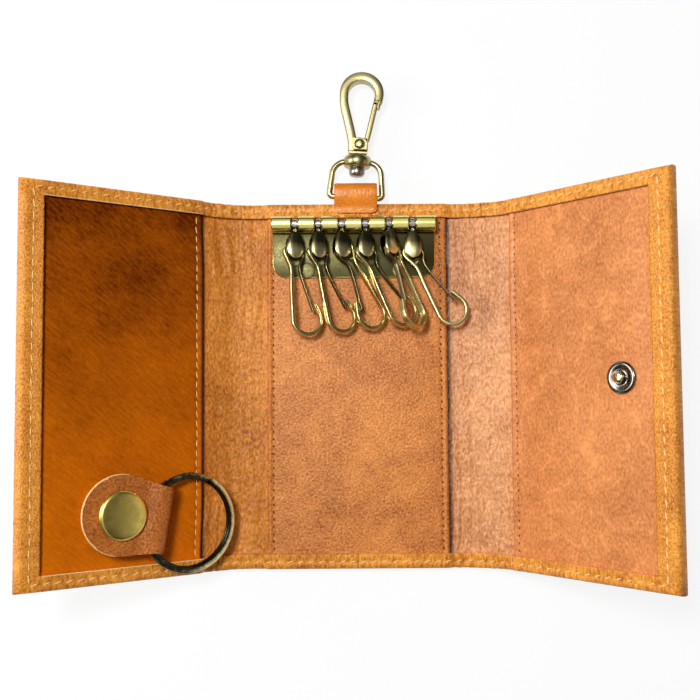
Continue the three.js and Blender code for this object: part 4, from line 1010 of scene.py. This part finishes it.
def head_shell(front):
    """One cheek of the pressed head: domed outside and flat towards the slot."""
    points = []
    for outside in (True, False):
        for y in head_ys:
            lengthwise = 1 - 0.8 * abs((y + 2.4) / 3.75) ** 3
            for t in head_ts:
                bulge = (1 - abs(t) ** 2.8) ** 0.5 * lengthwise
                out = HEAD_SLOT_HALF + (0.06 + 0.62 * max(0.05, bulge) if outside else 0.0)
                points.append(Vector((head_half_width(y) * t, y, front * out)))
    faces = sheet(len(head_ys), len(head_ts))
    return points, faces if front > 0 else [face[::-1] for face in faces]


def head_wall(side):
    """The fold that joins the two cheeks beside the stem's mouth."""
    outline = [(side * (head_half_width(y) - 0.04), y) for y in spread(0.8, -0.9, 0.2)]
    ring = outline + [(side * 1.25, -0.5), (side * 1.22, 0.8)]
    return prism(ring if side < 0 else ring[::-1], -1.04, 1.04)


head_shape = gather(head_shell(1), head_shell(-1), head_wall(-1), head_wall(1))
# Painted highlight: the outside of each cheek turns to the bright brass colour more and more towards the toe,
# where light catches the head.
head_painted_highlight = [ramp(-p.y, 0.6, 5.0) if abs(p.z) > 1.1 else 0.0 for p in head_shape[0]]

for i in range(HOOKS):
    swing = rod_place @ shift(hook_xs[i], 0, 0) @ spin(-HOOK_LIFT[i], "X")
    swivel = swing @ shift(0, -STEM_LENGTH, 0) @ spin(HOOK_TURN[i], "Y")
    spring = swivel @ shift(*SPRING_AT) @ spin(HOOK_LEAN[i], "Z")
    word = f"hook_{i + 1}"
    for part, shape, place, skin, body, slot in [
        ("stem", stem_shape, swing, bright_steel, word + "_stem", "bright_steel"),
        ("head", head_shape, swivel, head_brass, word, "antique_brass"),
        ("loop", loop_shape, spring, loop_brass, word, "antique_brass"),
        ("gate", leaf_shape, spring, leaf_brass, word + "_gate", "antique_brass"),
    ]:
        solid = f"{word}_{part}"
        piece = metal_piece(solid + "_metal", shape, place, [skin], 40, slot, body, solid)
        if part == "head":
            mark(piece, "abrasion_and_painted_light", head_painted_highlight)

# Tab
# A short strip of the cover's leather is folded round the swivel eye's bar and sewn over the top hem.
# Its two long sides are cut and left raw.
TAB_X, TAB_HALF, TAB_THICK, TAB_CORNER, TAB_END = -0.15, 5.9, 1.1, 1.3, 55.6
EYE_Y, EYE_Z, EYE_WIRE = 51.6, 4.2, 1.6
tab_leather = leather(
    "tab leather", (0.40, 0.090, 0.003), (0.82, 0.260, 0.018), pore=0.6, cloud=0.3, rough=0.32, relief=0.06
)


def strip_shell(name, outer, inner, columns, materials, flat):
    """A strip of leather from the points of its two faces, row by row. Its cut rim has the last material."""
    rows = len(outer) // columns
    faces = [face[:1] + face[:0:-1] for face in sheet(rows, columns)]
    piece = make_piece(name, outer + inner, faces, materials, flat + flat)
    for face in piece.data.polygons[2 * (rows - 1) * (columns - 1):]:
        face.material_index = len(materials) - 1
    rework(piece, lambda shell: bmesh.ops.recalc_face_normals(shell, faces=shell.faces))
    return sharp(piece, 50)


def rim_to_rim(near_rim, inner, count):
    """Steps across a strip from -1 to 1, close together by its rims."""
    rim = [near_rim, 0.95, 0.985, 1.0]
    return [-t for t in reversed(rim)] + spread(-inner, inner, 2 * inner / count) + rim


tab_bend = EYE_WIRE / 2 + 0.35 + TAB_THICK / 2
tab_far = TAB_END - tab_bend - TAB_THICK / 2
tab_line = [(47.2, 4.85), (47.8, 4.85), (48.4, 4.86), (49.0, 4.92), (50.0, 5.35), (50.7, 5.82)]
tab_line += arc(tab_far, EYE_Z, tab_bend, 90, -90, 14)
tab_line += [(51.2, EYE_Z - tab_bend), (50.15, EYE_Z - tab_bend)]
across_steps = rim_to_rim(0.88, 0.78, 10)
outer, inner, flat = [], [], []
for i, (y, z) in enumerate(tab_line):
    before, after = tab_line[max(0, i - 1)], tab_line[min(len(tab_line) - 1, i + 1)]
    run = Vector((0, after[0] - before[0], after[1] - before[1])).normalized()
    out = Vector((0, -run.z, run.y))
    for t in across_steps:
        rim = 0.14 * max(0.0, abs(t) - 0.9) / 0.1
        side_gap = min(TAB_CORNER, TAB_HALF * (1 - abs(t)))
        cut_back = TAB_CORNER - sqrt(TAB_CORNER**2 - (TAB_CORNER - side_gap) ** 2)
        lift = cut_back * (49.0 - y) / 1.8 if y < 49.0 else 0.0
        middle = Vector((TAB_X + TAB_HALF * t, y + lift, z))
        outer.append(middle + out * (TAB_THICK / 2 - rim))
        inner.append(middle - out * (TAB_THICK / 2 - rim))
        flat.append((TAB_HALF * t + 40, 1.3 * i))
tab = strip_shell("tab_leather", outer, inner, len(across_steps), [tab_leather, raw_edge], flat)
fit(tab, "tan_leather", "centre", "hook_tab")
tab_seam = [
    (Vector((TAB_X + x, HEM_SEAM_Y, 5.40)), Vector((1, 0, 0)), Vector((0, 0, 1)))
    for x in (-4.35, -1.45, 1.45, 4.35)
]
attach(stitches("tab_stitches", tab_seam, 2.0, 0.4, 14, thread), "centre")

# Swivel eye and snap hook
# A D of brass wire carries a bored collar, and the cast snap hook turns in it on a steel stud. The
# hook's gate swings inwards on a riveted pin, against a leaf spring in the clevis.
EYE_LEAN, EYE_WIDTH, EYE_HEIGHT = -3.2, 16.2, 9.9
EYE_FOOT_CORNER, EYE_TOP_CORNER = 1.1, 3.8
COLLAR_RADIUS, COLLAR_CROWN, COLLAR_BORE, COLLAR_THICK = 3.9, 2.9, 1.78, 3.3
SNAP_BAR, SNAP_THICK, SNAP_RADIUS, SNAP_RISE, SNAP_MIDDLE = 2.4, 3.7, 4.9, 17.1, 0.3
CHEEK_IN, CHEEK_OUT, CAST_EASE = 0.82, 1.9, 0.25
cast_brass = metal("cast brass", (0.32, 0.27, 0.115), (0.50, 0.44, 0.215), (800.0,) * 3, 0.30, 0.02)
dark_recess = metal("dark recess", (0.030, 0.025, 0.012), (0.075, 0.062, 0.030), (800.0,) * 3, 0.45)
dark_steel = metal("dark steel", (0.24, 0.24, 0.235), (0.48, 0.47, 0.46), (900.0,) * 3, 0.32)
eye_place = shift(TAB_X, EYE_Y, EYE_Z) @ spin(EYE_LEAN, "Z")

eye_half = EYE_WIDTH / 2 - EYE_WIRE / 2
shoulder = eye_half - 0.5 - EYE_TOP_CORNER
eye_line = (
    arc(-eye_half + EYE_FOOT_CORNER, EYE_FOOT_CORNER, EYE_FOOT_CORNER, 180, 270, 8)
    + arc(eye_half - EYE_FOOT_CORNER, EYE_FOOT_CORNER, EYE_FOOT_CORNER, 270, 360, 8)
    + arc(shoulder, EYE_HEIGHT - EYE_TOP_CORNER, EYE_TOP_CORNER, 0, 90, 14)
    + arc(-shoulder, EYE_HEIGHT - EYE_TOP_CORNER, EYE_TOP_CORNER, 90, 180, 14)
)
eye_wire = swept(spots(*eye_line), arc(0, 0, EYE_WIRE / 2, 0, 360, 14)[:-1], closed=True)
low, high = EYE_HEIGHT - COLLAR_THICK / 2, EYE_HEIGHT + COLLAR_THICK / 2
collar_ring = [(COLLAR_BORE, low), (COLLAR_CROWN, low)]
for k in range(1, 14):
    a = pi * k / 14
    bulge = (COLLAR_RADIUS - COLLAR_CROWN) * sin(a)
    collar_ring.append((COLLAR_CROWN + bulge, EYE_HEIGHT - COLLAR_THICK / 2 * cos(a)))
collar_ring += [(COLLAR_CROWN, high), (COLLAR_BORE, high), (COLLAR_BORE, low)]
eye_shape = gather(eye_wire, turned(collar_ring, 40, "Y"))
metal_piece("eye_metal", eye_shape, eye_place, [cast_brass], 40, "antique_brass", "swivel_eye", "swivel_eye")

snap_low = high + 0.2
stud_ring = [
    (0.0, low - 2.45), (1.2, low - 2.42), (1.75, low - 2.25), (2.05, low - 1.9), (2.2, low - 1.4),
    (2.2, low - 0.55), (2.0, low - 0.25), (1.7, low - 0.15), (1.7, snap_low + 0.9), (0.0, snap_low + 0.9),
]
stud_shape = turned(stud_ring, 32, "Y")
metal_piece("stud_metal", stud_shape, eye_place, [dark_steel], 40, "bright_steel", "snap_hook", "swivel_stud")

snap_top = snap_low + SNAP_RISE
snap_high = snap_low + 4.7
nose, heel = SNAP_MIDDLE + SNAP_RADIUS, SNAP_MIDDLE - SNAP_RADIUS
pivot, gate_top = spots((0.4, snap_low + 2.9), (nose - 0.85, snap_top - 2.1))
leg = spots(
    (-1.5, snap_low + 1.0), (-1.85, snap_high), (-3.1, snap_high + 4.7), (heel + 0.22, snap_top - 3.0),
    (heel, snap_top),
)
bow = spots(*arc(SNAP_MIDDLE, snap_top, SNAP_RADIUS, 180, 0, 30)[1:])
nose_run = spots((nose - 0.1, snap_top - 0.9), (nose - 0.3, snap_top - 1.7))
snap_bar = swept(smooth_path(leg, 6) + bow + nose_run, rounded_section(SNAP_BAR, SNAP_THICK, 0.35, 2))
lip_run = spots((nose + 0.25, snap_top - 1.6), (nose + 0.02, snap_top - 2.6), (nose - 0.2, snap_top - 3.7))
nose_lip = swept(lip_run, rounded_section(1.0, 2.4, 0.35))
foot_top = snap_low + 0.95
base_outline = [
    (-1.6, foot_top + 0.25), (2.45, foot_top + 0.25), (2.7, snap_low + 1.9), (2.75, snap_low + 2.9),
    (2.55, snap_low + 3.7), (2.1, snap_low + 4.25), (1.4, snap_low + 4.6), (0.6, snap_high),
    (-1.9, snap_high), (-1.75, snap_low + 2.2),
]
cheek = prism(base_outline, CHEEK_IN, CHEEK_OUT, CAST_EASE)
mirrored_outline = [(-x, y) for x, y in reversed(base_outline)]
under_cheek = moved(prism(mirrored_outline, CHEEK_IN, CHEEK_OUT, CAST_EASE), spin(180, "Y"))
foot_outline = [(-2.4, snap_low), (2.4, snap_low), (2.6, foot_top), (-2.6, foot_top)]
foot = prism(foot_outline, -CHEEK_OUT, CHEEK_OUT, CAST_EASE)
core_outline = [
    (-2.2, foot_top - 0.1), (-0.9, foot_top - 0.1), (-0.9, snap_high - 0.3), (-2.3, snap_high - 0.3),
]
snap_shape = gather(snap_bar, nose_lip, cheek, under_cheek, foot, prism(core_outline, -1.2, 1.2))
metal_piece(
    "snap_body_metal", snap_shape, eye_place, [cast_brass], 28, "antique_brass", "snap_hook", "snap_hook_body"
)

pin_ring = [
    (0.0, -2.45), (0.9, -2.42), (1.25, -2.25), (1.4, -1.95), (0.7, -1.95), (0.7, 1.92), (1.45, 1.92),
    (1.45, 1.97), (1.2, 1.97), (1.16, 2.25), (1.0, 2.4), (0.5, 2.45), (0.0, 2.46),
]
pin_shape = turned(pin_ring, 28)
pin = metal_piece(
    "pin_metal", pin_shape, eye_place @ shift(*pivot), [cast_brass, dark_recess], 40,
    "antique_brass", "snap_hook", "snap_gate_pin",
)
for face in pin.data.polygons:
    reach = max(pin_shape[0][k].xy.length for k in face.vertices)
    face.material_index = 1 if reach > 1.19 and pin_shape[0][face.vertices[0]].z > 1.5 else 0

gate_run = smooth_path([pivot, *(pivot + p for p in spots((1.7, 1.4), (2.15, 2.6))), gate_top], 6)
root_ring = [(0.78, -0.7), (1.25, -0.7), (1.4, -0.55), (1.4, 0.55), (1.25, 0.7), (0.78, 0.7), (0.78, -0.7)]
tip_ring = [(0.0, -0.7), (0.55, -0.7), (0.75, -0.5), (0.75, 0.5), (0.55, 0.7), (0.0, 0.7)]
gate_shape = gather(
    swept(gate_run, rounded_section(1.5, 1.4, 0.3)),
    moved(turned(root_ring, 24), shift(*pivot)),
    moved(turned(tip_ring, 16), shift(*gate_top)),
)
metal_piece(
    "snap_gate_metal", gate_shape, eye_place, [cast_brass], 40, "antique_brass", "snap_gate", "snap_hook_gate"
)


def plate_solids(skin, *names):
    """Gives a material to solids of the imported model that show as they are."""
    for name in names:
        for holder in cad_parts[name].material_slots:
            holder.material = skin


plate_solids(bright_steel, "snap_gate_spring")

# Key loop strap
# A strip of grained brown leather is folded round the split ring, with round ends laid one on the
# other. Its cut edge is left raw and shows pale along the round end.
LOOP_U, LOOP_Y, LOOP_TURN = -LEFT_POCKET_EDGE - 24.3, -32.5, 10.0
STRAP_THICK, STRAP_UPPER_END, STRAP_LOWER_END, STRAP_NECK = 1.2, 10.1, 8.2, 8.4
STRAP_OFF_POCKET, STRAP_GAP, STRAP_PATTERN = 0.1, 3.25, 60
FOLD_AT, FOLD_RADIUS, FOLD_BLEND = 10.0, 2.2, 0.9
strap_leather = leather(
    "strap leather", (0.13, 0.028, 0.0025), (0.70, 0.215, 0.036),
    pore=0.62, crease=5.0, depth=0.1, rough=0.38, relief=0.22,
)


def place_on_case(u, y, height):
    """The frame of a spot on the open case: right along the leather and up off it."""
    origin = laid(u, y, height)
    right = (laid(u + 1, y, height) - origin).normalized()
    up = (laid(u, y, height + 1) - origin).normalized()
    return shift(*origin) @ Matrix((right, Vector((0, 1, 0)), up)).transposed().to_4x4()


loop_place = place_on_case(LOOP_U, LOOP_Y, PANEL_TOP) @ spin(-LOOP_TURN, "Z")
fold_middle = STRAP_OFF_POCKET + STRAP_THICK + FOLD_RADIUS
fold_reach = FOLD_RADIUS + STRAP_THICK / 2
lower_level = STRAP_OFF_POCKET + STRAP_THICK / 2
upper_level = STRAP_OFF_POCKET + STRAP_THICK + STRAP_GAP + STRAP_THICK / 2


def strap_half_width(s, end):
    """Half width of a leaf: its round end, then straight sides that leave the round and meet the fold."""
    reach = hypot(FOLD_AT, STRAP_NECK)
    leave = atan2(STRAP_NECK, FOLD_AT) + acos(end / reach)
    turn_s, turn_half = end * cos(leave), end * sin(leave)
    if s < turn_s:
        return sqrt(max(0.0, end * end - s * s))
    return turn_half + (STRAP_NECK - turn_half) * min(1.0, (s - turn_s) / (FOLD_AT - turn_s))


def leaf_steps(end):
    return [-end * cos(radians(a)) for a in range(12, 90, 6)]


def end_bulge(s, across, end):
    """How far the leaf's first rows bow out, so that they follow its round end."""
    share = 1 - ramp(s, -end * cos(radians(12)), -end * cos(radians(66)))
    return share * (sqrt(end * end - across * across) + s) if s < 0 else 0.0


stations = [(s, lower_level, STRAP_LOWER_END) for s in leaf_steps(STRAP_LOWER_END) + spread(0.0, 7.2, 0.7)]
stations += [(s, w, STRAP_LOWER_END) for s, w in arc(FOLD_AT, fold_middle, fold_reach, -90, 0, 10)]
stations += [(s, w, STRAP_UPPER_END) for s, w in arc(FOLD_AT, fold_middle, fold_reach, 0, 90, 10)[1:]]
for s in reversed(leaf_steps(STRAP_UPPER_END) + spread(0.0, 9.3, 0.62)):
    rise = (fold_middle + fold_reach - upper_level) * ramp(s, 5.2, FOLD_AT)
    stations.append((s, upper_level + rise, STRAP_UPPER_END))
outer, inner, flat = [], [], []
travel = 0.0
rows_across = rim_to_rim(0.85, 0.7, 12)
for i, (s, w, end) in enumerate(stations):
    if i:
        travel += hypot(s - stations[i - 1][0], w - stations[i - 1][1])
    before, after = stations[max(0, i - 1)], stations[min(len(stations) - 1, i + 1)]
    run = Vector((after[0] - before[0], 0, after[1] - before[1])).normalized()
    lie = loop_place.to_3x3() @ Vector((run.z, 0, -run.x))
    wide = strap_half_width(min(s, FOLD_AT), end)
    for t in rows_across:
        puff = 0.05 * wave(s * 0.3, t * 3, w * 0.3)
        rim = 0.08 if i in (0, len(stations) - 1) else 0.08 * max(0.0, abs(t) - 0.85) / 0.15
        skive = 0.55 * ramp(abs(t), 0.76, 0.90) * ramp(s, 9.0, FOLD_AT)
        middle = loop_place @ Vector((s - end_bulge(s, wide * t, end), wide * t, w))
        outer.append(middle + lie * (STRAP_THICK / 2 + puff - rim))
        inner.append(middle - lie * (STRAP_THICK / 2 - rim - skive))
        flat.append((travel + STRAP_PATTERN, wide * t))
strap = strip_shell("strap_leather", outer, inner, len(rows_across), [strap_leather, raw_edge], flat)
across = len(rows_across) - 1
upper_rows = range(len(stations) - len(leaf_steps(STRAP_UPPER_END)) - 1, len(stations) - 1)
for i in upper_rows:
    cut = 2 if stations[i][0] < -5.0 else 1
    for j in range(across):
        if i == upper_rows[-1] or j < cut or j > across - 1 - cut:
            strap.data.polygons[2 * (i * across + j)].material_index = 1
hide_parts("key_loop_lower_leaf", "key_loop_upper_leaf")
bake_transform(strap)

# Press stud of the strap
# A flat-domed brass cap is riveted through the upper leaf to its socket, and the stud it snaps on is
# riveted through the lower leaf and the pocket.
cap_brass = metal("cap brass", (0.68, 0.52, 0.12), (0.86, 0.67, 0.165), (700.0,) * 3, 0.32, 0.006)
cap_low = upper_level + STRAP_THICK / 2 + 0.05
cap_ring = [
    (0.0, -1.3), (1.3, -1.3), (1.3, 0.0), (5.95, 0.0), (6.15, 0.12), (6.25, 0.35), (6.22, 0.62), (6.1, 0.9),
    (5.88, 1.14), (5.6, 1.3), (5.2, 1.40), (3.6, 1.50), (2.0, 1.57), (0.0, 1.6),
]
metal_piece(
    "cap_metal", turned(cap_ring, 56, base=cap_low), loop_place, [cap_brass], 50,
    "antique_brass", "key_loop_leaf", "key_loop_cap",
)
plate_solids(cap_brass, "key_loop_socket", "key_loop_stud")

# Split ring
# One flat steel wire is wound twice and sprung together, plated dark bronze. Its outer rim shows yellow,
# partly as abrasion from handling and partly as a painted highlight that is strongest on the ring's right
# side.
RING_RADIUS, RING_BAND, RING_WIRE, RING_GAP = 12.95, 1.8, 0.7, 0.45
RING_AT, RING_STEP, RING_SEAM, RING_SPANS = 19.4, 60.0, 100.0, 220
ring_bronze = metal(
    "ring bronze", (0.022, 0.019, 0.013), (0.060, 0.050, 0.030), (900.0,) * 3, 0.24, 0.004,
    abraded_and_lit_colour=(0.86, 0.75, 0.36),
)
ring_section = rounded_section(RING_BAND, RING_WIRE, 0.3)
points, abrasion_and_painted_light = [], []
for i in range(RING_SPANS + 1):
    angle = RING_STEP / 2 + (720 - RING_STEP) * i / RING_SPANS
    rise = (RING_WIRE + RING_GAP) * (ramp(angle, 360 - RING_STEP / 2, 360 + RING_STEP / 2) - 0.5)
    a = radians(angle + RING_SEAM)
    for t, w in ring_section:
        out = RING_RADIUS - RING_BAND / 2 + t
        points.append(Vector((out * cos(a) + RING_AT, out * sin(a), rise + w + fold_middle)))
        # The outer half of the band turns yellow, far more on the right side: abrasion plus a painted
        # highlight.
        abrasion_and_painted_light.append(ramp(t, 0.0, 0.6) * (0.25 + 0.75 * ramp(cos(a), -0.1, 0.8)))
faces = [face[:1] + face[:0:-1] for face in tube(RING_SPANS + 1, len(ring_section))]
ring = metal_piece(
    "ring_metal", (points, faces), loop_place, [ring_bronze], 50, "dark_bronze", "split_ring", "split_ring"
)
mark(ring, "abrasion_and_painted_light", abrasion_and_painted_light)

# Closing press stud
# A dark stud stands on the right pocket and a brass cap closes it outside. Its socket and eyelet sit
# through the left flap, where the closed case brings them together.
CLOSURE_FROM_FOLD, CLOSURE_Y = 35.5, 0.4
stud_steel = metal(
    "stud steel", (0.10, 0.090, 0.080), (0.30, 0.27, 0.24), (600.0,) * 3, 0.16, abraded_and_lit_colour=(0.75, 0.66, 0.36)
)
stud_place = place_on_case(RIGHT_FLAP_FOLD + CLOSURE_FROM_FOLD, CLOSURE_Y, 0.0)
stud_low = PANEL_TOP + 0.05
press_ring = [
    (0.0, 0.0), (3.8, 0.0), (4.0, 0.15), (4.0, 0.45), (3.85, 0.68), (3.5, 0.8), (2.9, 0.78), (2.4, 0.55),
    (1.7, 0.5), (1.3, 0.7), (1.25, 1.35), (1.42, 1.55), (1.5, 1.75), (1.42, 2.02), (1.1, 2.2), (0.5, 2.25),
    (0.0, 2.25),
]
press_shape = turned(press_ring, 44, base=stud_low)
press = metal_piece(
    "press_stud_metal", press_shape, stud_place, [stud_steel], 50, "gunmetal", "right_flap", "closure_stud"
)
# Painted reflection: the top of the stud's knob takes the pale yellow colour, for the tan leather reflected
# in it.
mark(press, "abrasion_and_painted_light", [1.0 if p.xy.length < 1.6 and p.z > stud_low + 1.5 else 0.0 for p in press_shape[0]])
outer_ring = [
    (0.0, -1.45), (2.4, -1.38), (3.8, -1.1), (4.6, -0.75), (4.95, -0.4), (5.0, -0.25), (4.85, -0.05),
    (1.3, -0.05), (1.3, 3.0), (0.0, 3.0),
]
metal_piece(
    "outer_cap_metal", turned(outer_ring, 44), stud_place, [cap_brass], 50,
    "antique_brass", "right_flap", "closure_cap",
)
plate_solids(cap_brass, "closure_socket", "closure_eyelet")
